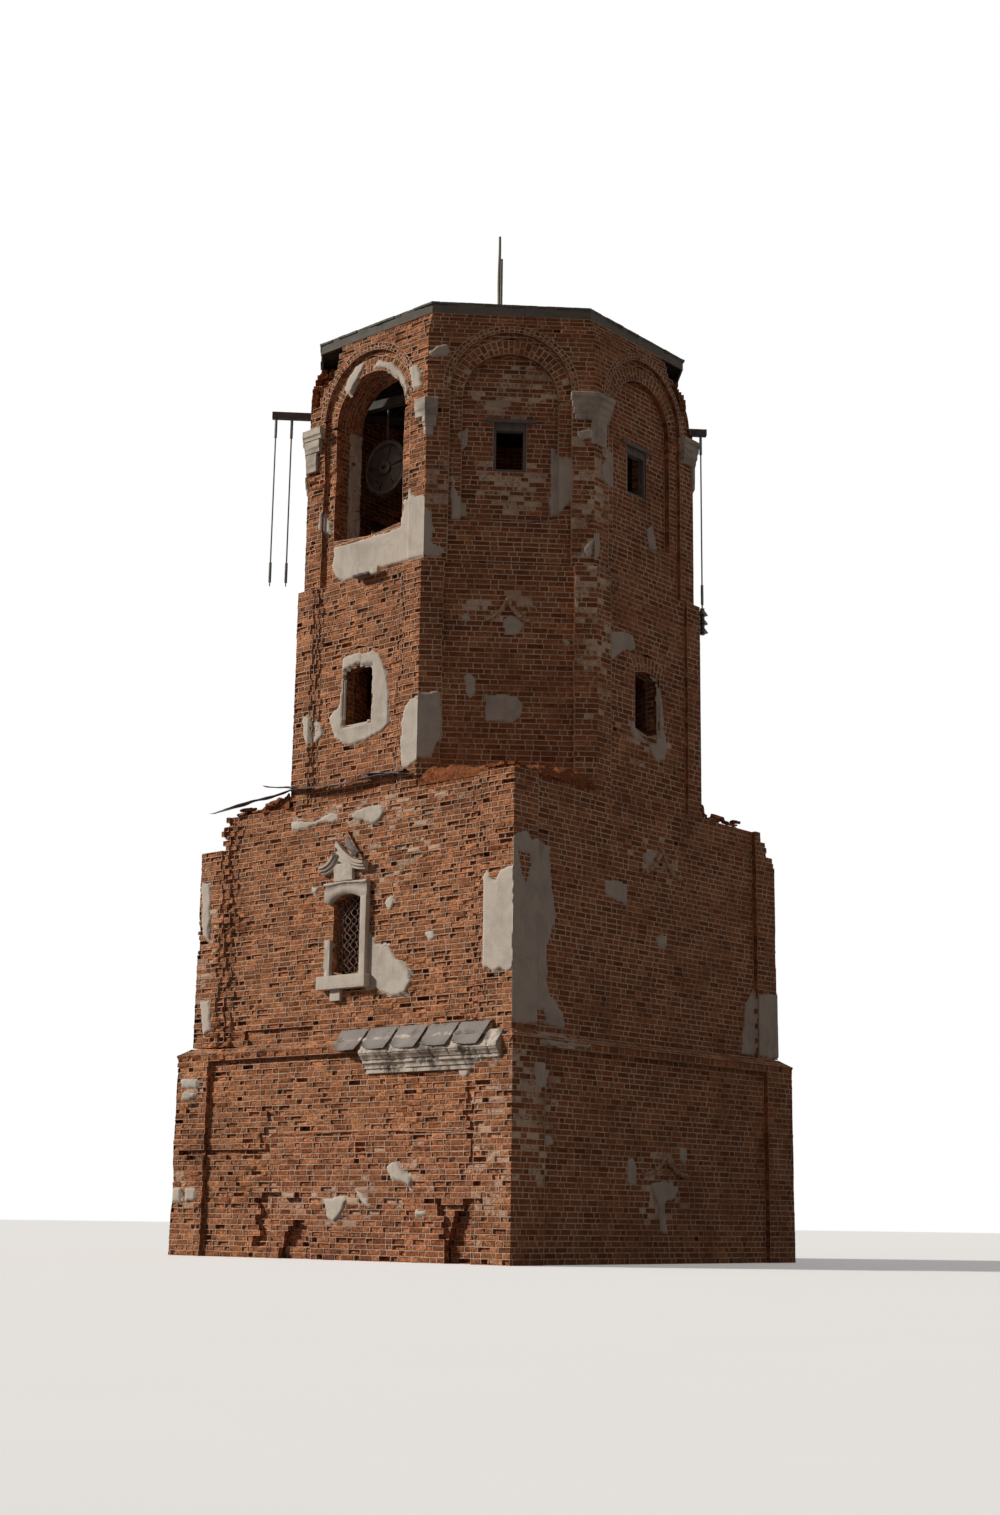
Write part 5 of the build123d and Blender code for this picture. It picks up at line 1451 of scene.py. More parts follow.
# Remains of stucco on each storey: face, storey and outline along the wall and up, in metres
STUCCO = {
    "ground": [
        ("front", [(1.19, 1.42), (1.36, 1.53), (1.55, 1.36), (1.74, 1.31), (1.70, 1.10), (1.50, 1.22), (1.30, 1.27)]),
        ("front", [(0.53, 1.09), (0.66, 1.02), (0.90, 0.84), (0.84, 0.75), (0.68, 0.90)]),
        ("front", [(-0.21, 0.95), (0.02, 1.00), (0.33, 0.95), (0.22, 0.72), (0.05, 0.57), (-0.10, 0.66)]),
        ("front", [(1.82, 0.79), (2.02, 0.79), (2.03, 0.70), (1.82, 0.70)]),
        ("front", [(2.61, 2.96), (2.92, 2.95), (2.86, 2.74), (2.70, 2.80)]),
        ("front", [(-3.73, 2.96), (-3.30, 2.95), (-3.28, 2.78), (-3.70, 2.80)]),
        ("front", [(-3.70, 2.76), (-3.32, 2.74), (-3.32, 2.60), (-3.68, 2.62)]),
        ("front", [(-3.80, 1.12), (-3.58, 1.12), (-3.56, 0.88), (-3.80, 0.90)]),
        ("front", [(-3.48, 1.12), (-3.22, 1.12), (-3.22, 0.90), (-3.46, 0.88)]),
        ("right", [(-3.02, 1.95), (-2.75, 1.94), (-2.70, 1.78), (-2.95, 1.74)]),
        ("right", [(-0.89, 1.62), (-0.74, 1.66), (-0.63, 1.50), (-0.68, 1.20), (-0.86, 1.25)]),
        ("right", [(0.52, 1.88), (0.74, 1.84), (0.70, 1.58), (0.54, 1.62)]),
        ("right", [(-0.30, 1.25), (0.10, 1.33), (0.47, 1.20), (0.40, 1.02), (0.12, 0.95), (0.16, 0.50),
                   (-0.02, 0.46), (-0.08, 0.95)]),
        ("right", [(-3.33, 3.00), (-3.05, 3.00), (-2.86, 2.90), (-2.90, 2.62), (-3.30, 2.56)]),
        ("right", [(-3.11, 3.36), (-2.50, 3.36), (-1.95, 3.36), (-2.00, 3.28), (-2.90, 3.26)]),
    ],
    "middle": [
        ("front", [(-3.63, 6.42), (-3.40, 6.44), (-3.33, 5.90), (-3.38, 5.40), (-3.55, 5.44)]),
        ("front", [(-3.52, 4.34), (-3.26, 4.32), (-3.20, 3.80), (-3.42, 3.66)]),
        ("right", [(0.15, 5.32), (0.45, 5.38), (0.49, 5.18), (0.20, 5.12)]),
        ("right", [(-0.20, 6.66), (0.02, 6.82), (0.17, 6.70), (0.05, 6.52), (-0.16, 6.50)]),
        ("front", [(2.92, 6.06), (3.04, 5.93), (3.17, 5.89), (3.27, 5.79), (3.39, 5.96), (3.75, 6.01),
                   (3.75, 4.36), (3.56, 4.35), (3.42, 4.44), (3.28, 4.37), (3.13, 4.43), (2.97, 4.47)]),
        ("front", [(-1.48, 7.28), (-0.79, 7.25), (-0.67, 7.32), (-0.43, 7.34), (-0.31, 7.26),
                   (-0.30, 7.17), (-0.74, 7.17), (-1.03, 7.12), (-1.47, 7.12)]),
        ("front", [(-0.02, 7.21), (0.12, 7.31), (0.49, 7.37), (0.72, 7.34), (0.75, 7.17), (0.64, 7.03),
                   (0.41, 7.04), (0.03, 7.17)]),
        ("front", [(0.42, 5.40), (0.52, 5.22), (0.67, 5.04), (0.94, 4.93), (1.19, 4.70), (1.40, 4.53),
                   (1.43, 4.33), (1.32, 4.18), (1.01, 4.14), (0.74, 4.25), (0.42, 4.26)]),
        ("front", [(0.84, 5.76), (0.96, 5.78), (1.05, 5.67), (0.99, 5.55), (0.90, 5.52), (0.82, 5.66)]),
        ("front", [(1.73, 5.10), (1.88, 5.13), (1.95, 5.03), (1.82, 4.94)]),
        ("front", [(-0.90, 6.11), (-0.73, 6.08), (-0.77, 5.93), (-0.90, 5.99)]),
        ("right", [(-3.75, 6.46), (-3.34, 6.60), (-3.21, 6.47), (-2.92, 6.50), (-2.67, 6.43), (-2.61, 5.81),
                   (-2.48, 5.40), (-2.53, 5.20), (-2.70, 4.85), (-2.70, 4.30), (-2.62, 4.08), (-2.34, 3.90),
                   (-2.24, 3.69), (-2.29, 3.56), (-2.71, 3.60), (-3.75, 3.57)]),
        ("right", [(2.78, 4.42), (3.02, 4.72), (3.10, 4.60), (3.45, 4.66), (3.75, 4.70), (3.75, 3.52), (2.62, 3.52)]),
        ("right", [(-1.27, 6.09), (-0.95, 6.14), (-0.63, 6.10), (-0.66, 5.74), (-1.24, 5.80)]),
        ("right", [(0.20, 5.30), (0.30, 5.39), (0.45, 5.36), (0.40, 5.05), (0.26, 5.14)]),
    ],
    "octagon": [
        ("front", [(-0.37, 10.02), (-0.14, 10.08), (0.38, 10.04), (0.53, 9.92), (0.68, 9.60), (0.76, 9.27),
                   (0.76, 8.69), (0.58, 8.58), (0.16, 8.47), (-0.17, 8.46), (-0.52, 8.63), (-0.68, 9.01),
                   (-0.54, 9.15), (-0.43, 9.23), (-0.40, 9.44)]),
        ("front", [(1.18, 8.91), (1.34, 9.04), (1.70, 9.01), (1.70, 8.00), (1.24, 7.86), (1.13, 7.89), (1.10, 8.65)]),
        ("front", [(-1.26, 9.12), (-1.01, 9.10), (-0.85, 8.95), (-0.81, 8.72), (-0.98, 8.60), (-1.13, 8.57),
                   (-1.24, 8.78)]),
        ("front_right", [(-1.70, 9.09), (-1.13, 9.17), (-1.07, 8.98), (-1.06, 8.39), (-1.17, 8.20), (-1.23, 8.00),
                         (-1.35, 8.01), (-1.70, 8.01)]),
        ("front_right", [(-0.77, 9.45), (-0.62, 9.51), (-0.53, 9.39), (-0.53, 9.09), (-0.63, 9.05), (-0.73, 9.25)]),
        ("front_right", [(-0.40, 9.12), (-0.01, 9.17), (0.19, 9.13), (0.24, 8.94), (0.22, 8.75), (0.08, 8.61),
                         (-0.12, 8.66), (-0.39, 8.66)]),
        ("front_right", [(-0.08, 10.46), (0.05, 10.54), (0.15, 10.49), (0.26, 10.35), (0.21, 10.16), (-0.08, 10.15),
                         (-0.10, 10.32)]),
        ("front_right", [(-0.82, 10.44), (-0.72, 10.56), (-0.62, 10.43), (-0.71, 10.37)]),
        ("front_right", [(0.88, 10.13), (0.98, 10.14), (1.08, 10.02), (0.96, 9.98)]),
        ("right", [(-1.14, 10.36), (-0.89, 10.43), (-0.41, 10.47), (-0.33, 10.19), (-0.72, 10.10), (-0.92, 9.92),
                   (-1.14, 9.87)]),
        ("right", [(-0.49, 8.90), (-0.41, 8.97), (-0.32, 8.77), (0.04, 8.65), (0.27, 8.69), (0.27, 9.61),
                   (0.11, 9.83), (0.31, 9.86), (0.43, 9.47), (0.48, 9.05), (0.59, 8.65), (0.50, 8.42),
                   (0.24, 8.34), (0.04, 8.58), (-0.35, 8.61), (-0.49, 8.71)]),
    ],
    "bell": [
        ("front", [(-0.66, 15.06), (-0.60, 15.30), (-0.36, 15.50), (-0.14, 15.50), (-0.26, 15.30), (-0.52, 14.96)]),
        ("front", [(-0.02, 15.30), (0.18, 15.44), (0.52, 15.30), (0.80, 14.98), (0.92, 14.66), (0.86, 14.52),
                   (0.80, 14.72), (0.66, 14.96), (0.42, 15.16), (0.16, 15.28)]),
        ("front", [(0.98, 15.05), (1.20, 15.06), (1.32, 14.60), (1.10, 14.56)]),
        ("front", [(-0.84, 11.80), (-0.80, 12.16), (0.83, 12.17), (0.86, 12.66), (0.94, 12.62), (1.05, 12.83),
                   (1.20, 12.61), (1.70, 12.51), (1.70, 11.47), (0.86, 11.54), (0.32, 11.53), (-0.28, 11.48),
                   (-0.50, 11.47), (-0.73, 11.59)]),
        ("front", [(-1.14, 12.85), (-1.04, 12.89), (-0.90, 12.61), (-0.89, 12.44), (-1.02, 12.42), (-1.15, 12.57)]),
        ("front_right", [(-1.70, 12.49), (-1.30, 12.31), (-1.28, 11.75), (-1.07, 11.61), (-1.17, 11.50),
                         (-1.70, 11.48)]),
        ("front_right", [(-1.03, 12.97), (-0.95, 13.04), (-0.87, 12.58), (-0.70, 12.52), (-0.70, 12.20),
                         (-1.01, 12.20)]),
        ("front_right", [(-0.90, 13.74), (-0.72, 13.92), (-0.70, 13.58), (-0.84, 13.48)]),
        ("front_right", [(0.70, 13.57), (0.76, 13.59), (0.86, 13.41), (1.08, 13.38), (1.09, 12.59), (0.85, 12.38),
                         (0.70, 12.32)]),
        ("front_right", [(1.10, 13.86), (1.36, 13.92), (1.53, 13.86), (1.49, 13.75), (1.18, 13.70)]),
        ("front_right", [(1.23, 11.74), (1.50, 12.00), (1.36, 11.50)]),
        ("right", [(-1.24, 13.35), (-0.98, 13.62), (-0.73, 13.75), (-0.70, 13.38), (-0.81, 13.06), (-1.10, 12.96),
                   (-1.24, 13.06)]),
        ("right", [(-1.60, 12.05), (-1.30, 12.05), (-1.28, 11.70), (-1.40, 11.52), (-1.60, 11.54)]),
        ("right", [(0.26, 12.59), (0.46, 12.74), (0.58, 12.29), (0.34, 12.15)]),
        ("front_right", [(-1.45, 15.16), (-1.33, 15.31), (-1.11, 15.34), (-1.05, 15.21), (-1.14, 15.10),
                         (-1.31, 15.05)]),
    ],
}
STUCCO_HOLES = {
    ("middle", "right"): [
        [(-3.52, 6.20), (-3.28, 6.19), (-3.23, 6.03), (-3.35, 5.79), (-3.45, 5.90)],
        [(-3.02, 3.80), (-2.80, 3.84), (-2.72, 3.68), (-2.95, 3.62)],
    ],
    ("octagon", "front"): [[(-0.34, 8.80), (0.34, 8.80), (0.34, 9.80), (0.0, 9.88), (-0.34, 9.80)]],
    ("octagon", "right"): [[(-0.34, 8.80), (0.34, 8.80), (0.34, 9.80), (0.0, 9.88), (-0.34, 9.80)]],
}


# Traces of lost pediments: storey, face, middle along, foot, half width and rise
GHOSTS = [
    ("middle", "right", 0.32, 6.36, 0.58, 0.46), ("ground", "right", 0.12, 1.40, 0.60, 0.28),
    ("octagon", "front_right", -0.02, 10.42, 0.38, 0.36),
]


class TOWER_OT_stucco(BuildStep):
    """Leave the remains of stucco on the brick of each storey"""
    bl_idname = "tower.stucco"
    bl_label = "Stucco Remains"

    def execute(self, context):
        for number, (place_name, patches) in enumerate(STUCCO.items()):
            parts = []
            for index, (face, outline) in enumerate(patches):
                holes = STUCCO_HOLES.get((place_name, face), [])
                parts.append(stucco_patch(face, place_name, outline, 60 + 20 * number + index, holes=holes))
            points, quads = join(parts)
            piece = make_piece(f"stucco_remains_{place_name}", points, quads, stucco_material("stucco"), smooth=True)
            hold(piece, "stucco")
        jamb = on_jamb(STOREYS["bell"], BELL_ARCH, 0, -1)
        coat = worn_block((0.44, 12.22, -0.012), (0.78, 14.45, 0.06), jamb, 96, 0.030, 0.05, 0.040)
        ledge = on_wall(STOREYS["octagon"], 0)
        chip = worn_block((0.30, 11.35, -0.05), (0.52, 11.50, 0.06), ledge, 97, 0.03, 0.04, 0.02)
        points, quads = join([coat, chip])
        hold(make_piece("bell_stucco_scraps", points, quads, stucco_material("stucco")), "stucco")
        slab = worn_block((-0.04, 11.35, -0.10), (0.34, 11.42, 0.10), ledge, 98, 0.02, 0.04, 0.02)
        hold(make_piece("broken_slab", *slab, stucco_material("grey_slab", 4.0, SLAB_GREY)), "stucco")
        self.ghosts()
        return {"FINISHED"}

    def ghosts(self):
        """Worn brick ridges where pediments once stood, each an S-curve mirrored about its middle."""
        parts = []
        section = [(-0.035, -0.02), (-0.035, 0.022), (0.0, 0.040), (0.035, 0.022), (0.035, -0.02)]
        for index, (place_name, face, middle, foot, half, rise) in enumerate(GHOSTS):
            right = bezier((half, 0), (half / 2, 0), (half / 5, 0.55 * rise), (0, rise))
            for side in (-1, 1):
                curve = right[:: -side] * np.array([side, 1]) + np.array([middle, foot])
                parts.append(swept(field_of(place_name, face), curve, section, 190 + index, 0.012))
        points, quads = join(parts)
        values = [("tone", np.full(len(quads), 0.45)), ("mortar", np.full(len(quads), 0.55)),
                  ("wear", np.full(len(quads), 0.5))]
        piece = make_piece("ghost_pediments", points, quads, brick_material("old_brick"), values)
        hold(piece, "old_brick")


# Profile of the cornice: height above its foot and projection from the sunk field
CORNICE_PROFILE = [
    (0.00, 0.0), (0.00, 0.025), (0.07, 0.027), (0.072, 0.050), (0.10, 0.054), (0.125, 0.066), (0.155, 0.105),
    (0.205, 0.107), (0.212, 0.130), (0.225, 0.136), (0.250, 0.155), (0.275, 0.180), (0.300, 0.190),
    (0.305, 0.200), (0.335, 0.200), (0.365, 0.190), (0.52, 0.085), (0.58, 0.020), (0.58, 0.0),
]
CORNICE_LEFT = 0.70
BED_PROFILE = [(0.46, 0.0), (0.47, 0.092), (0.53, 0.096), (0.60, 0.020), (0.69, -0.085), (0.69, -0.15)]


class TOWER_OT_cornice(BuildStep):
    """Shape the moulded cornice, its bed of mortar and the curled sheets over it"""
    bl_idname = "tower.cornice"
    bl_label = "Cornice"

    def execute(self, context):
        low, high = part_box("ground_cornice")
        sheets_low, sheets_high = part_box("ground_flashing")
        moulding = self.run(CORNICE_PROFILE, CORNICE_LEFT, high.x, low.z, 71, 0.035)
        piece = make_piece("cornice_moulding", *moulding, stucco_material("cornice", 2.2))
        hold(piece, "stucco", "ground_cornice")
        bed = self.run(BED_PROFILE, sheets_low.x, sheets_high.x, low.z, 75, 0.03)
        hold(make_piece("cornice_bed", *bed, stucco_material("cornice_bed", 1.9)), "stucco")
        self.sheets()
        return {"FINISHED"}

    def run(self, profile, left, right, foot, seed, loss):
        """A profile of (height, projection) carried along the wall, less what has broken off its lip."""
        wall = field_of("ground", "front")
        z, proud = np.array(profile).T
        u, z = np.meshgrid(np.linspace(left, right, int((right - left) / 0.02)), foot + z, indexing="ij")
        proud = proud + 0 * u
        spots = np.stack([u, z, 0 * u], -1)
        gone = np.clip((rough_noise(spots, 0.5, seed) - 0.56) * 5, 0, 1) * loss
        chips = np.clip((rough_noise(spots, 0.09, seed + 1) - 0.60) * 4, 0, 1) * 0.035
        reach = np.where(proud > 0, np.maximum(proud - gone - chips, 0.004), proud)
        lip = np.where(proud > 0.17, 0.012 * (noise(spots, 0.22, seed + 2) - 0.5), 0.0)
        return capped(wall(u, z + lip, -reach))

    def sheets(self):
        """Each sheet lies on the mortar bed and curls up along its seam and at its free corners."""
        low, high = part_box("ground_flashing")
        drop = 0.07
        rise = high.z - 0.036 - low.z + drop
        count = 5
        width = (high.x - low.x + 0.03) / count
        parts = []
        for index in range(count):
            left = low.x + index * width
            s, t = np.meshgrid(np.linspace(0, 1, 30), np.linspace(0, 1, 16), indexing="ij")
            bend = 0.05 * np.sin(pi * (t - 0.25)) * (0.6 + 0.4 * noise(np.array([[index * 1.7, 0, 0.0]]), 1, 84))
            x = left + s * (width - 0.03) + bend * (1 - s) ** 2
            y = high.y - 0.004 + t * (low.y + 0.004 - high.y)
            spots = np.stack([x, y, 0 * x], -1)
            corner = np.exp(-((s / 0.22) ** 2)) * np.clip((t - 0.45) / 0.55, 0, 1) ** 2
            curl = 0.050 * corner + 0.030 * t ** 6 * noise(spots, 0.35, 81 + index)
            seam = 0.034 * np.exp(-((1 - s) / 0.045) ** 2)
            buckle = 0.014 * (noise(spots, 0.16, 90) - 0.2)
            z = low.z - drop + rise * (y - low.y) / (high.y - low.y) + curl + seam + buckle
            y = y + 0.035 * (1 - s) * t ** 3
            top = np.stack([np.clip(x, low.x - 0.03, high.x), np.clip(y, low.y + 0.002, high.y), z], -1)
            parts.append(shell(top[:, ::-1], 0.006))
        points, quads = join(parts)
        sheet = iron_material("sheet_iron", (0.21, 0.185, 0.165), (0.12, 0.07, 0.045), 0.45, 0.6)
        piece = make_piece("cornice_sheets", points, quads, sheet)
        hold(piece, "sheet_iron", "ground_flashing")


GABLE_SLAB = [(-0.10, 6.86), (0.00, 6.87), (0.10, 6.74), (0.26, 6.56), (0.20, 6.47), (0.08, 6.50), (-0.09, 6.74)]


class TOWER_OT_window_surrounds(BuildStep):
    """Shape the worn surrounds, pediments, brick gables and slabs of the middle windows"""
    bl_idname = "tower.window_surrounds"
    bl_label = "Window Surrounds"

    def execute(self, context):
        stucco = stucco_material("stucco")
        for index, face in enumerate(["front", "back"]):
            wall = field_of("middle", face)
            frame_parts = self.surround(wall, 100 + 10 * index)
            gable_parts = self.pediment(wall, 140 + 10 * index)
            points, quads = join(frame_parts)
            piece = make_piece(f"window_surround_{face}", points, quads, stucco, smooth=True)
            hold(piece, "stucco", "middle_window_surrounds")
            points, quads = join(gable_parts)
            piece = make_piece(f"ogee_pediment_{face}", points, quads, stucco)
            hold(piece, "stucco", "middle_pediments")
            points, quads, *values = self.gable(wall, 145 + index)
            values = list(zip(["tone", "mortar", "wear"], values))
            piece = make_piece(f"pediment_gable_{face}", points, quads, brick_material("old_brick"), values)
            hold(piece, "old_brick")
            slab = stucco_patch(face, "middle", GABLE_SLAB, 150, 0.055, 0.02)
            piece = make_piece(f"gable_slab_{face}", *slab, stucco_material("grey_slab", 4.0, SLAB_GREY), smooth=True)
            hold(piece, "stucco")
        return {"FINISHED"}

    def surround(self, wall, seed):
        """Whole right stile, stump of the left one, sill, bracket stump and lintel coat."""
        half = MIDDLE_WINDOW.width / 2
        sill, spring = MIDDLE_WINDOW.sill, MIDDLE_WINDOW.spring
        return [
            worn_block((half, sill - 0.02, -0.090), (half + 0.14, spring + 0.04, 0.03), wall, seed, 0.018),
            worn_block((-half - 0.14, sill - 0.02, -0.055), (-half + 0.012, sill + 0.62, 0.15), wall, seed + 1, 0.02,
                       rough=0.02),
            worn_block((-half - 0.205, sill - 0.23, -0.150), (half + 0.205, sill, 0.02), wall, seed + 2, 0.020),
            worn_block((-0.315, sill - 0.42, -0.07), (-0.065, sill - 0.22, 0.02), wall, seed + 3, 0.018, rough=0.01),
            self.head(wall, seed + 4),
        ]

    def head(self, wall, seed):
        """The lintel coat: a band over the arched head whose lower edge follows the arch."""
        u = np.linspace(-0.50, 0.50, 44)
        line = np.stack([u, 0 * u, 0 * u], -1)
        radius, centre = arc_of(MIDDLE_WINDOW)
        inner = np.sqrt(np.maximum(radius ** 2 - u ** 2, 0)) + centre
        low = np.where(abs(u) < MIDDLE_WINDOW.width / 2, inner, MIDDLE_WINDOW.spring - 0.02)
        low = low + 0.05 * (noise(line, 0.1, seed) - 0.5) * (u < -0.2)
        high = 6.10 - 0.02 * (u + 0.4) + 0.015 * (noise(line, 0.12, seed) - 0.5)
        share = np.array([0.0, 0.0, 0.5, 0.86, 0.88, 1.0, 1.0])
        proud = np.array([-0.02, 0.060, 0.068, 0.068, 0.092, 0.092, -0.02])
        z = low[:, None] + (high - low)[:, None] * share
        spots = np.stack([u[:, None] + 0 * z, z, 0 * z], -1)
        wear = 0.02 * (rough_noise(spots, 0.12, seed + 1) - 0.4) * (proud > 0)
        return capped(wall(u[:, None] + 0 * z, z, wear - proud))

    def pediment(self, wall, seed):
        """Two S-curved arms in stepped bands that meet in a point, over a block of the same coat.

        At a share of the arm's thickness its curve runs from (half, foot) to (0, peak), where both
        ends come down as the share grows, and it is mirrored for the left arm.
        """
        half, foot, thickness, rise, peak_thickness = 0.515, 6.26, 0.14, 0.40, 0.34
        steps = [(0.0, -0.02), (0.0, 0.118), (0.03, 0.130), (0.33, 0.130), (0.36, 0.122), (0.37, 0.100), (0.65, 0.100),
                 (0.68, 0.092), (0.69, 0.065), (0.97, 0.065), (1.0, 0.058), (1.0, -0.02)]
        rings = []
        for share, proud in steps:
            low = foot + thickness * (1 - share)
            peak = low + rise - (peak_thickness - thickness) * share
            climb = peak - low
            right = bezier((half, low), (half / 2, low), (half / 5, low + 0.55 * climb), (0, peak))
            curve = np.concatenate([right * np.array([-1, 1]), right[-2::-1]])
            curve[:, 0] -= 0.09 + 0.12 * (curve[:, 1] - low) / climb
            spots = np.concatenate([curve, np.full((len(curve), 1), proud)], 1)
            wear = 0.012 * (rough_noise(spots, 0.09, seed) - 0.3) * (proud > 0)
            lost = (curve[:, 0] > -0.42) & (curve[:, 0] < -0.235) & (curve[:, 1] > 6.58)
            rings.append(wall(curve[:, 0], curve[:, 1], np.where(lost, 0.02, wear - proud)))
        arms = capped(np.stack(rings, 1)[:, ::-1])
        return [arms, worn_block((-0.31, 6.11, -0.07), (0.14, 6.42, 0.02), wall, seed + 2, 0.02, rough=0.012)]

    def gable(self, wall, seed):
        """The rough brick gable behind the arms, in courses that shorten to its peak."""
        def runs(low, high):
            width = [np.clip((6.95 - z) / 0.50, 0, 1) for z in (low, high)]
            return [((-0.04 - 0.36 * width[0], -0.04 - 0.36 * width[1]),
                     (-0.04 + 0.36 * width[0], -0.04 + 0.36 * width[1]), -0.058)]

        return lay_runs(wall, runs, 6.45, 6.95, 0.083, 0.8, np.random.default_rng(seed), True)


class TOWER_OT_lattices(BuildStep):
    """Forge the wavy lattices in the middle windows"""
    bl_idname = "tower.lattices"
    bl_label = "Window Lattices"

    def execute(self, context):
        turn = np.linspace(0, 2 * pi, 5, endpoint=False)
        profile = np.stack([np.cos(turn), np.sin(turn)], -1) * 0.010
        generator = np.random.default_rng(99)
        for face in ("front", "back"):
            wall = field_of("middle", face)
            z = np.linspace(MIDDLE_WINDOW.sill - 0.01, MIDDLE_WINDOW.crown - 0.03, 60)
            parts = []
            for index in range(5):
                for side in (-1, 1):
                    swing = generator.uniform(0.050, 0.078)
                    slip = generator.normal(0, 0.012)
                    u = -0.29 + 0.145 * index + slip + side * swing * np.cos((z - z[0] + slip) / 0.135 * pi)
                    u = np.clip(u, -0.355, 0.355)
                    depth = 0.15 + side * 0.009 + 0 * z
                    path = wall(u, z, depth)
                    out, along = directions(FACES[face][0])
                    across = along + 0 * path
                    parts.append(along_path(path, across, out + 0 * path, profile))
            points, quads = join(parts)
            bars = iron_material("lattice", (0.16, 0.135, 0.12), (0.17, 0.115, 0.085), 0.6, 2.0)
            piece = make_piece(f"window_lattice_{face}", points, quads, bars, smooth=True)
            hold(piece, "rod_steel")
        return {"FINISHED"}


# Strips of sheet along the front ledge: left end and height over the ledge, right end and height, width
LEDGE_STRIPS = [
    (-3.46, 0.10, -1.50, 0.27, 0.16), (-1.50, 0.27, -0.11, 0.22, 0.12), (-0.11, 0.22, 1.27, 0.27, 0.14),
    (-2.10, 0.42, -1.34, 0.30, 0.22), (0.25, 0.34, 1.45, 0.18, 0.20),
]


class TOWER_OT_corner_caps(BuildStep):
    """Heap the broken masonry on the corners beside the octagon"""
    bl_idname = "tower.corner_caps"
    bl_label = "Corner Caps"

    def execute(self, context):
        low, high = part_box("middle_corner_caps")
        reach = STOREYS["middle"].apothem - 0.10
        start = STOREYS["octagon"].apothem * sqrt(2) - reach
        rise = high.z - low.z
        parts, tones, mortars = [], [], []
        for corner, missing in enumerate([0.0, 0.72, 0.0, 0.48]):
            turn = np.radians(90 * corner)
            spin = np.array([[np.cos(turn), np.sin(turn), 0], [-np.sin(turn), np.cos(turn), 0], [0, 0, 1]])
            mound = self.mound(reach, start, low.z, rise, missing, 160 + corner)
            parts.append((mound[0] @ spin, mound[1]))
            tones.append(np.full(len(mound[1]), 0.10))
            mortars.append(np.full(len(mound[1]), 0.16))
            generator = np.random.default_rng(170 + corner)
            for number in range(48):
                side = number % 2
                along = start + 0.1 + generator.random() * (reach - start - 0.2 - missing)
                back = 0.0 + 0.30 * generator.random() ** 1.5
                level = low.z + 0.03 + 0.075 * generator.integers(0, 2)
                at = np.array([reach - back, -along, level]) if side else np.array([along, -(reach - back), level])
                place = free_place((0, 0, 0), 90 * side + generator.normal(0, 12), generator.normal(0, 8))
                size = np.array([0.25, 0.07, 0.12]) * generator.uniform(0.5, 1.0, 3)
                brick = worn_block(-size / 2, size / 2, place, number, 0.012, 0.09, 0.006)
                parts.append(((brick[0] + at) @ spin, brick[1]))
                tones.append(np.full(len(brick[1]), generator.random() ** 1.5))
                mortars.append(np.full(len(brick[1]), 0.35 * generator.random() ** 3))
        points, quads = join(parts)
        values = [("tone", np.concatenate(tones)), ("mortar", np.concatenate(mortars)), ("wear", np.ones(len(quads)))]
        piece = make_piece("corner_rubble", points, quads, brick_material("old_brick"), values)
        hold(piece, "old_brick", "middle_corner_caps")
        self.strips(low.z)
        return {"FINISHED"}

    def mound(self, reach, start, foot, rise, missing, seed):
        """Heap over a corner: rows from the diagonal wall's line out to the corner, or to what is left of it."""
        s, t = np.meshgrid(np.linspace(0, 1, 40), np.linspace(0, 1, 28), indexing="ij")
        line = np.stack([start + (reach - start) * s, -(reach - (reach - start) * s)], -1)
        corner = np.array([reach - missing, missing - reach])
        flat = line * (1 - t[..., None]) + corner * t[..., None]
        spots = np.concatenate([flat, 0 * t[..., None]], -1)
        edge = np.minimum(np.minimum(reach - flat[..., 0], reach + flat[..., 1]) / 0.12, 1)
        height = (rise - 0.05) * (1 - t) ** 0.8 * (0.25 + 0.75 * np.clip(edge, 0, 1))
        height = height * (0.45 + 1.1 * rough_noise(spots, 0.24, seed)) + 0.05 * noise(spots, 0.07, seed)
        height = np.clip(height, 0.012, rise)
        top = np.concatenate([flat, (foot + height)[..., None]], -1)
        low_ring = np.concatenate([flat, np.full(t.shape + (1,), foot - 0.02)], -1)
        count = t.size
        index = np.arange(count).reshape(t.shape)
        ring = np.concatenate([index[0], index[1:, -1], index[-1, -2::-1], index[-2:0:-1, 0]])
        after = np.roll(ring, -1)
        rim = np.stack([ring, ring + count, after + count, after], -1)
        points = np.concatenate([top.reshape(-1, 3), low_ring.reshape(-1, 3)])
        return points, np.concatenate([grid_quads(*t.shape), rim])

    def strips(self, foot):
        """Thin rusty strips along the front ledge, buckled by noise."""
        wall = on_wall(STOREYS["middle"]._replace(apothem=STOREYS["middle"].apothem + 0.3, sides=4), 0)
        parts = []
        for number, (left, left_z, right, right_z, width) in enumerate(LEDGE_STRIPS):
            steps = max(6, int((right - left) / 0.06))
            s, t = np.meshgrid(np.linspace(0, 1, steps), np.linspace(0, 1, 5), indexing="ij")
            u = left + (right - left) * s
            spots = np.stack([u, t, 0 * u], -1)
            z = foot + left_z + (right_z - left_z) * s + 0.05 * (noise(spots, 0.3, 95 + number) - 0.5) + 0.03 * (1 - t)
            depth = 0.27 + width * (1 - t) + 0.04 * noise(spots, 0.25, 97 + number)
            parts.append(shell(wall(u, z, depth)[::-1], 0.006))
        points, quads = join(parts)
        dark = iron_material("dark_sheet", (0.09, 0.075, 0.075), (0.10, 0.055, 0.04), 0.45, 0.8)
        hold(make_piece("ledge_strips", points, quads, dark), "sheet_iron")


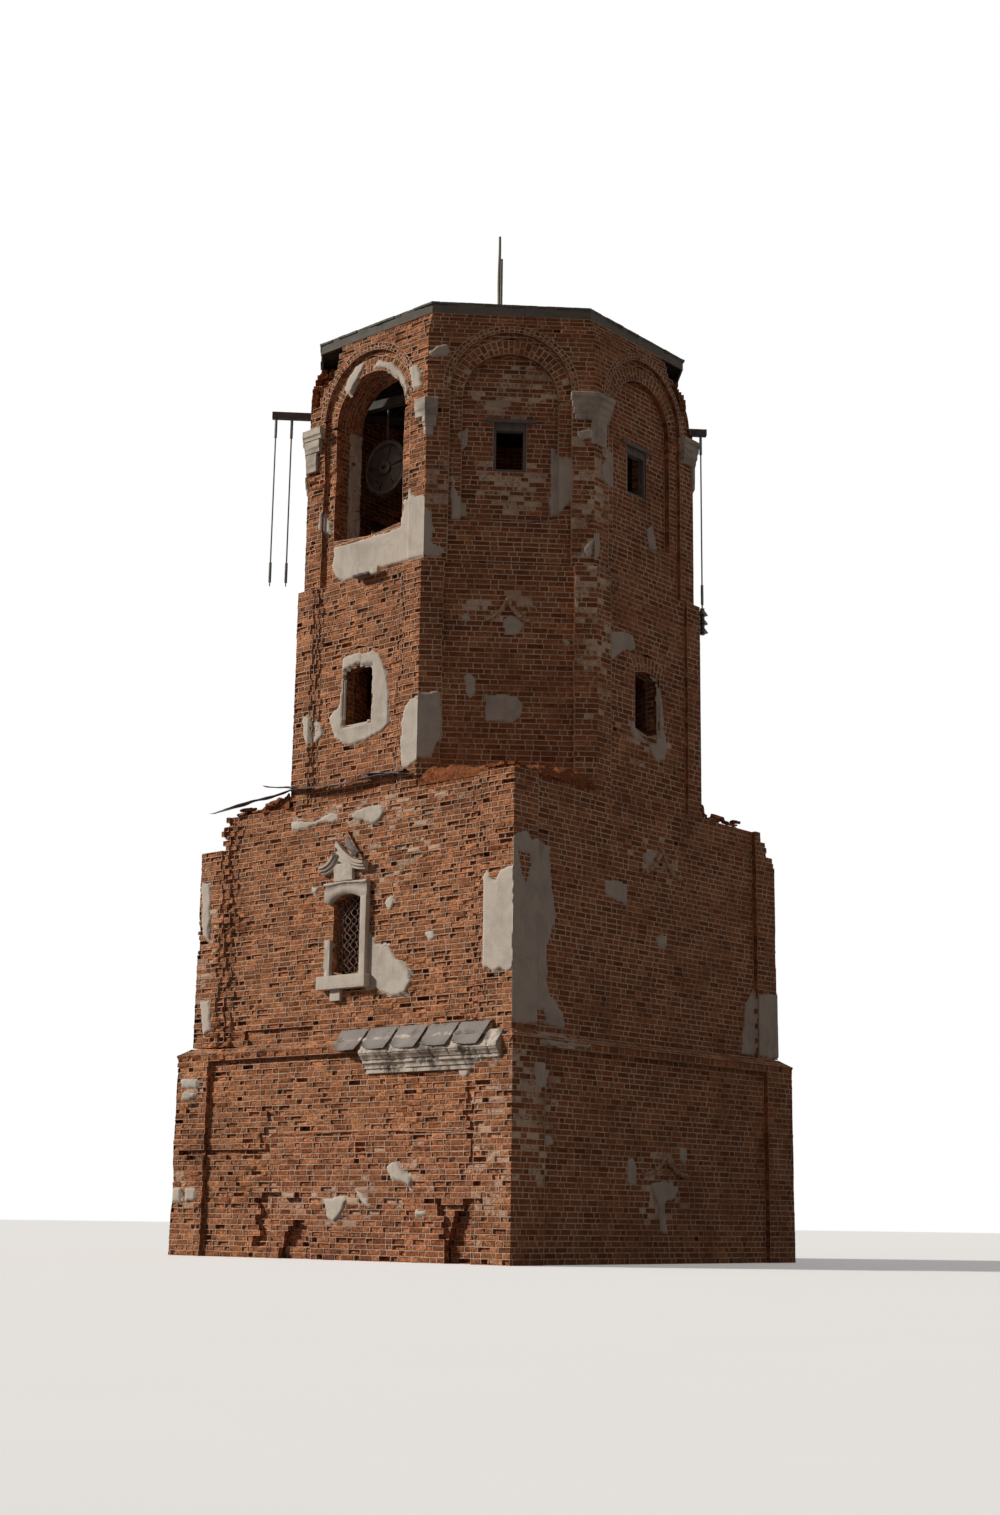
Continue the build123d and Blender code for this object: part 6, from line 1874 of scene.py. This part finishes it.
# Capitals of the bell storey: height of the top, then for each step from the top down its height,
# how far it stands out, and how far it runs on the left and on the right face
WHOLE = (14.53, [(0.13, 0.120, 0.42, 0.42), (0.12, 0.095, 0.395, 0.395), (0.11, 0.070, 0.37, 0.37),
                 (0.11, 0.045, 0.345, 0.345), (0.43, 0.025, 0.06, 0.30)])
SHORT = (14.43, [(0.20, 0.110, 0.40, 0.40), (0.23, 0.065, 0.33, 0.33), (0.35, 0.035, 0.24, 0.24)])
STUMP = (14.33, [(0.33, 0.090, 0.21, 0.19), (0.18, 0.070, 0.04, 0.17), (0.15, 0.035, 0.03, 0.12)])
CAPITALS = [STUMP, WHOLE, WHOLE, SHORT, STUMP, WHOLE, WHOLE, SHORT]


class TOWER_OT_capitals(BuildStep):
    """Shape the stucco capitals left on the corners of the bell storey"""
    bl_idname = "tower.capitals"
    bl_label = "Capitals"

    def execute(self, context):
        place = STOREYS["bell"]
        parts = []
        for index, (top, steps) in enumerate(CAPITALS):
            angles = 45 * index, 45 * index + 45
            for number, (height, out, left, right) in enumerate(steps):
                low = top - height
                profile = [(low, -0.03), (low, 0.72 * out), (low + 0.25 * height, 0.78 * out), (low + 0.4 * height, out),
                           (top - 0.01, out), (top, 0.92 * out), (top, -0.03)]
                seed = 200 + 8 * index + number
                parts.append(round_corner(place, *angles, left, right, profile, seed, 0.009))
                top = low
        points, quads = join(parts)
        piece = make_piece("corner_capitals", points, quads, stucco_material("capital", 0.9))
        hold(piece, "stucco", "bell_capitals")
        return {"FINISHED"}


class TOWER_OT_roof(BuildStep):
    """Lay the roof boards, nail the fascia and set the mast"""
    bl_idname = "tower.roof"
    bl_label = "Roof"

    def execute(self, context):
        self.boards()
        self.fascia()
        self.mast()
        return {"FINISHED"}

    def boards(self):
        """Boards that run down each slope, each cut off on the hips."""
        low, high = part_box("roof_deck")
        edge, apex = -low.y, high.z
        eave = low.z + 0.045
        slope = (apex - eave) / edge
        hip = tan(pi / 8)
        generator = np.random.default_rng(230)
        rings_low, rings_high, tones, spans = [], [], [], []
        for side in range(8):
            out, along = directions(45 * side)
            cuts = np.arange(-edge * hip, edge * hip, 0.155) + generator.normal(0, 0.006)
            for left in cuts:
                right = min(left + 0.148, edge * hip)
                short = max(abs(left), abs(right), 0.07) / hip if left * right > 0 else 0.30
                near = min(abs(left), abs(right)) / hip if left * right > 0 else 0.22
                tops = (abs(left) / hip, abs(right) / hip)
                reach = edge - 0.03 * generator.random()
                lift = 0.006 * generator.random()
                for end, store in ((reach, rings_low), (None, rings_high)):
                    ring = []
                    for u, far in ((left, tops[0]), (right, tops[1])):
                        r = min(max(end if end else far, abs(u) / hip, 0.12), edge)
                        z = apex - slope * r - lift
                        ring.append(out * r + along * u + np.array([0, 0, z - 0.038]))
                        ring.append(out * r + along * u + np.array([0, 0, z]))
                    store.append([ring[0], ring[2], ring[3], ring[1]])
                tones.append(generator.random())
        for side in range(8):
            out, along = directions(45 * side)
            for r, store in ((edge - 0.08, rings_low), (0.12, rings_high)):
                left, right = [out * r + along * (end * r * hip) + np.array([0, 0, apex - slope * r]) for end in (-1, 1)]
                under, over = np.array([0, 0, -0.056]), np.array([0, 0, -0.044])
                store.append([left + under, right + under, right + over, left + over])
            tones.append(0.2)
        points, quads = blocks(np.array(rings_low), np.array(rings_high))
        tones = np.array(tones)
        length = np.linalg.norm(np.array(rings_low) - np.array(rings_high), axis=-1)
        uv_low = np.zeros((len(tones), 4, 2))
        uv_low[:, :, 0] = tones[:, None] * 40 + np.array([0, 0.15, 0.19, 0.04])
        uv_high = uv_low.copy()
        uv_high[:, :, 1] = length
        uv = np.concatenate([uv_low, uv_high], 1).reshape(-1, 2)
        boards = wood_material("roof_boards", (0.11, 0.10, 0.085), (0.035, 0.030, 0.026), 0.6, (1, 0.06, 1), True)
        piece = make_piece("roof_boards", points, quads, boards, [("tone", np.repeat(tones, 6))], uv=uv)
        hold(piece, "roof_boards", "roof_deck")

    def fascia(self):
        """Two boards on edge on each side, butted near the middle, a little bowed and lifted."""
        low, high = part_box("roof_fascia")
        edge = -low.y
        hip = tan(pi / 8)
        generator = np.random.default_rng(240)
        rings_low, rings_high, tones = [], [], []
        for side in range(8):
            out, along = directions(45 * side)
            joint = generator.uniform(-0.5, 0.5)
            for left, right in ((-edge * hip + 0.002, joint - 0.003), (joint + 0.003, edge * hip - 0.002)):
                drop = generator.uniform(-0.012, 0.012, 2)
                for u, low_z, store in ((left, drop[0], rings_low), (right, drop[1], rings_high)):
                    ring = []
                    for r, z in ((edge, low.z + low_z), (edge - 0.032, low.z + low_z),
                                 (edge - 0.032, high.z - 0.01), (edge, high.z - 0.01)):
                        kept = np.clip(u, -r * hip, r * hip)
                        ring.append(out * r + along * kept + np.array([0, 0, max(z, low.z)]))
                    store.append(ring)
                tones.append(generator.random())
        points, quads = blocks(np.array(rings_low), np.array(rings_high))
        tones = np.array(tones)
        uv_low = np.zeros((len(tones), 4, 2))
        uv_low[:, :, 0] = tones[:, None] * 40 + np.array([0, 0.03, 0.23, 0.2])
        uv_high = uv_low.copy()
        uv_high[:, :, 1] = np.linalg.norm(np.array(rings_low) - np.array(rings_high), axis=-1)
        uv = np.concatenate([uv_low, uv_high], 1).reshape(-1, 2)
        boards = wood_material("fascia_boards", (0.15, 0.125, 0.10), (0.055, 0.042, 0.032), 0.3, (1, 0.06, 1), True)
        piece = make_piece("fascia_boards", points, quads, boards, [("tone", np.repeat(tones, 6))], uv=uv)
        hold(piece, "roof_boards", "roof_fascia")

    def mast(self):
        """Tapered pole, slightly bowed and out of true, with a shorter batten lashed beside it."""
        low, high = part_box("mast")
        z = np.linspace(low.z, high.z, 30)
        share = (z - low.z) / (high.z - low.z)
        size = 0.033 - 0.012 * share
        parts = []
        turn = np.linspace(0, 2 * pi, 12, endpoint=False)
        wobble = 0.004 * np.sin(share * 9)
        square = np.stack([np.cos(turn), np.sin(turn)], -1)
        square = square / np.max(abs(square), -1, keepdims=True) ** 0.75
        ring = np.stack([
            wobble[:, None] + size[:, None] * square[:, 0] - 0.002, 0.5 * wobble[:, None] + size[:, None] * square[:, 1],
            z[:, None] + 0 * turn], -1)
        parts.append(capped(ring))
        top = low.z + 0.75 * (high.z - low.z)
        z = np.linspace(low.z, min(top, 18.74), 24)
        ring = np.stack([0.056 + 0.019 * square[:, 0] + 0 * z[:, None], 0.024 * square[:, 1] + 0 * z[:, None],
                         z[:, None] + 0 * turn], -1)
        parts.append(capped(ring))
        points, quads = join(parts)
        pole = wood_material("mast", (0.30, 0.26, 0.20), (0.12, 0.09, 0.06), 0.3, (3, 3, 0.15))
        piece = make_piece("mast_pole", points, quads, pole)
        hold(piece, "roof_timber", "mast")


class TOWER_OT_ironwork(BuildStep):
    """Turn the hanging wheel and its strap"""
    bl_idname = "tower.ironwork"
    bl_label = "Wheel"

    def execute(self, context):
        low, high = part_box("hanging_wheel")
        radius = (high.x - low.x) / 2
        middle = ((low.x + high.x) / 2, (low.y + high.y) / 2, low.z + radius)
        profile = [
            (0.045, 0.090), (0.12, 0.090), (0.135, 0.075), (0.14, 0.020), (0.20, 0.012), (0.34, -0.004),
            (0.425, 0.004), (0.440, 0.062), (0.455, 0.074), (0.500, 0.075), (0.518, 0.062), (0.520, 0.0),
            (0.518, -0.062), (0.500, -0.075), (0.455, -0.074), (0.440, -0.062), (0.425, -0.026), (0.34, -0.034),
            (0.20, -0.018), (0.14, -0.020), (0.135, -0.075), (0.12, -0.090), (0.045, -0.090), (0.045, 0.090),
        ]
        points, quads = lathe(profile, 72, middle, "y")
        parts = [(points.reshape(-1, 3), quads)]
        strap_high = high.z
        wall = on_plane((middle[0], middle[1], 0), (1, 0, 0), (0, 0, 1), (0, -1, 0))
        parts.append(worn_block((-0.024, middle[2] + 0.44, -0.006), (0.024, strap_high, 0.006), wall, 3, 0.003, 0.1, 0.001))
        for turn in (0.2, 1.4, 2.9, 4.3, 5.2):
            a, b = np.cos(turn), np.sin(turn)
            bar = np.array([[0.12, 0.0], [0.45, 0.0]])
            path = np.array(middle) + np.stack([bar[:, 0] * a, 0 * bar[:, 0] - 0.022, bar[:, 0] * b], -1)
            path = path[0] + np.linspace(0, 1, 6)[:, None] * (path[1] - path[0])
            across = np.array([-b, 0, a]) + 0 * path
            rise = np.array([0, -1.0, 0]) + 0 * path
            section = [(-0.016, -0.012), (0.016, -0.012), (0.012, 0.014), (-0.012, 0.014)]
            parts.append(along_path(path, across, rise, section))
        points, quads = join(parts)
        iron = iron_material("wheel_iron", (0.075, 0.062, 0.052), (0.11, 0.055, 0.03), 0.55, 1.3)
        piece = make_piece("bell_wheel", points, quads, iron)
        hold(piece, "wheel_iron", "hanging_wheel")
        return {"FINISHED"}


class TOWER_OT_timber(BuildStep):
    """Give the remaining beams, frames, floors and rods their worn materials"""
    bl_idname = "tower.timber"
    bl_label = "Timber and Rods"

    def execute(self, context):
        dark = wood_material("dark_timber", (0.075, 0.060, 0.048), (0.028, 0.020, 0.016), 0.25, (0.06, 1, 1))
        dress(dark, "cross_beam", "outrigger_beam", "roof_frame")
        window = wood_material("window_timber", (0.14, 0.105, 0.09), (0.06, 0.042, 0.034), 0.25, (1, 1, 0.08))
        dress(window, "bell_window_frames")
        planks = wood_material("floor_planks", (0.20, 0.16, 0.12), (0.09, 0.07, 0.05), 0.4, (0.06, 1, 1))
        dress(planks, "middle_floor", "octagon_floor", "bell_floor")
        slab = stucco_material("floor_slabs", 1.2)
        dress(slab, "ground_floor")
        dress(stucco_material("squinch_coat", 0.9), "middle_squinches")
        rod = iron_material("rod_steel", (0.09, 0.085, 0.08), (0.12, 0.06, 0.035), 0.4, 2.0)
        dress(rod, "hanger_rods")
        glaze = iron_material("insulator_glaze", (0.05, 0.035, 0.03), (0.10, 0.06, 0.04), 0.2, 2.0)
        dress(glaze, "insulator_stack")
        return {"FINISHED"}


# Stage

CAMERA_PLACE = (23.478, -26.865, 0.629)
CAMERA_YAW = 40.93
CAMERA_PITCH = 13.01
CAMERA_ROLL = 0.78
CAMERA_LENS = 47.74
KEY_FROM = (-0.62, -0.60, 0.50)
FLOOR_REACH = 260.0


def disc(reach, rings, spokes):
    """Flat disc on a polar grid: radius grows as the square of the ring's share."""
    share = np.linspace(0, 1, rings + 1)[1:] ** 2 * reach
    turn = np.linspace(0, 2 * pi, spokes, endpoint=False)
    r, t = np.meshgrid(share, turn, indexing="ij")
    points = np.stack([r * np.cos(t), r * np.sin(t), 0 * r], -1).reshape(-1, 3)
    points = np.concatenate([points, [[0, 0, 0]]])
    index = np.arange(rings * spokes).reshape(rings, spokes)
    inner, outer = index[:-1], index[1:]
    after = np.roll(index, -1, 1)
    quads = np.stack([inner, outer, after[1:], after[:-1]], -1).reshape(-1, 4)
    centre = np.full(spokes, len(points) - 1)
    fan = np.stack([centre, index[0], after[0], after[0]], -1)
    return points, np.concatenate([quads, fan])


def floor_material():
    """Pale floor; light that bounces from it on to the tower is held lower than what the eye sees."""
    made = bpy.data.materials.new("studio_floor")
    made.use_nodes = True
    tree = made.node_tree
    shader = tree.nodes["Principled BSDF"]
    path = add(tree, "ShaderNodeLightPath")
    seen = reckon(tree, "MAXIMUM", path.outputs["Is Camera Ray"], path.outputs["Is Glossy Ray"])
    place = add(tree, "ShaderNodeTexCoord").outputs["Object"]
    pale = mix(tree, grain(tree, place, 0.6), (0.78, 0.775, 0.765, 1), (0.82, 0.815, 0.805, 1))
    tree.links.new(mix(tree, seen, (0.19, 0.165, 0.155, 1), pale), shader.inputs["Base Color"])
    shader.inputs["Roughness"].default_value = 0.95
    shader.inputs["Specular IOR Level"].default_value = 0.1
    shader.inputs["Emission Color"].default_value = (1.0, 0.995, 0.985, 1)
    tree.links.new(reckon(tree, "MULTIPLY", seen, 0.24), shader.inputs["Emission Strength"])
    return made


class TOWER_OT_stage(BuildStep):
    """Set the floor, the light and the camera"""
    bl_idname = "tower.stage"
    bl_label = "Stage"

    def execute(self, context):
        scene = context.scene
        light = scene.tower_light
        points, faces = disc(FLOOR_REACH, 24, 48)
        floor = make_piece("studio_ground", points, faces, floor_material())
        floor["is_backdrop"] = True
        lamp = bpy.data.lights.new("key", "SUN")
        lamp.energy = light.key
        lamp.angle = 0.09
        lamp.color = (1.0, 0.965, 0.92)
        key = bpy.data.objects.new("key", lamp)
        toward = -Vector(KEY_FROM)
        key.rotation_euler = toward.to_track_quat("-Z", "Y").to_euler()
        scene.collection.objects.link(key)
        world = bpy.data.worlds.new("studio")
        scene.world = world
        world.use_nodes = True
        tree = world.node_tree
        backdrop = tree.nodes["Background"]
        path = add(tree, "ShaderNodeLightPath")
        seen = reckon(tree, "MAXIMUM", path.outputs["Is Camera Ray"], path.outputs["Is Glossy Ray"])
        seen = reckon(tree, "MAXIMUM", seen, path.outputs["Is Transmission Ray"])
        strength = between(tree, seen, 0.0, 1.0, light.fill, 1.0)
        tree.links.new(strength, backdrop.inputs["Strength"])
        tint = mix(tree, seen, (1.0, 0.90, 0.88, 1), (1, 1, 1, 1))
        tree.links.new(tint, backdrop.inputs["Color"])
        lens = bpy.data.cameras.new("camera")
        lens.lens = CAMERA_LENS
        lens.sensor_width = 36.0
        lens.clip_end = 1000.0
        camera = bpy.data.objects.new("camera", lens)
        yaw, pitch, roll = np.radians([CAMERA_YAW, CAMERA_PITCH, CAMERA_ROLL])
        look = Vector((-np.sin(yaw) * np.cos(pitch), np.cos(yaw) * np.cos(pitch), np.sin(pitch)))
        side = Vector((np.cos(yaw), np.sin(yaw), 0))
        rise = side.cross(look)
        right = side * np.cos(roll) + rise * np.sin(roll)
        up = rise * np.cos(roll) - side * np.sin(roll)
        turn = Matrix((right, up, -look)).transposed()
        camera.matrix_world = Matrix.Translation(CAMERA_PLACE) @ turn.to_4x4()
        scene.collection.objects.link(camera)
        scene.camera = camera
        scene.view_settings.view_transform = "Standard"
        return {"FINISHED"}


STEPS = [
    TOWER_OT_ground_walls, TOWER_OT_middle_walls, TOWER_OT_octagon_walls, TOWER_OT_bell_walls,
    TOWER_OT_fillings, TOWER_OT_stucco, TOWER_OT_cornice, TOWER_OT_window_surrounds, TOWER_OT_lattices,
    TOWER_OT_corner_caps, TOWER_OT_capitals, TOWER_OT_roof, TOWER_OT_ironwork, TOWER_OT_timber,
    TOWER_OT_stage,
]


class TOWER_PT_panel(bpy.types.Panel):
    """Steps of the bell tower"""
    bl_label = "Bell Tower"
    bl_idname = "TOWER_PT_panel"
    bl_space_type = "VIEW_3D"
    bl_region_type = "UI"
    bl_category = "Bell Tower"

    def draw(self, context):
        for step in STEPS:
            self.layout.operator(step.bl_idname)


CLASSES = [TowerColours, TowerLight, *STEPS, TOWER_PT_panel]


def register():
    for cls in CLASSES:
        bpy.utils.register_class(cls)
    bpy.types.Scene.tower_colours = bpy.props.PointerProperty(type=TowerColours)
    bpy.types.Scene.tower_light = bpy.props.PointerProperty(type=TowerLight)


def unregister():
    del bpy.types.Scene.tower_light
    del bpy.types.Scene.tower_colours
    for cls in reversed(CLASSES):
        bpy.utils.unregister_class(cls)


def corners(bounds):
    return [[float(value) for value in corner] for corner in bounds]


def main():
    register()
    for step in STEPS:
        family, name = step.bl_idname.split(".")
        getattr(getattr(bpy.ops, family), name)()
    {"cad": corners(CAD_BOX), "visual": corners(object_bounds())}


if __name__ == "__main__":
    main()
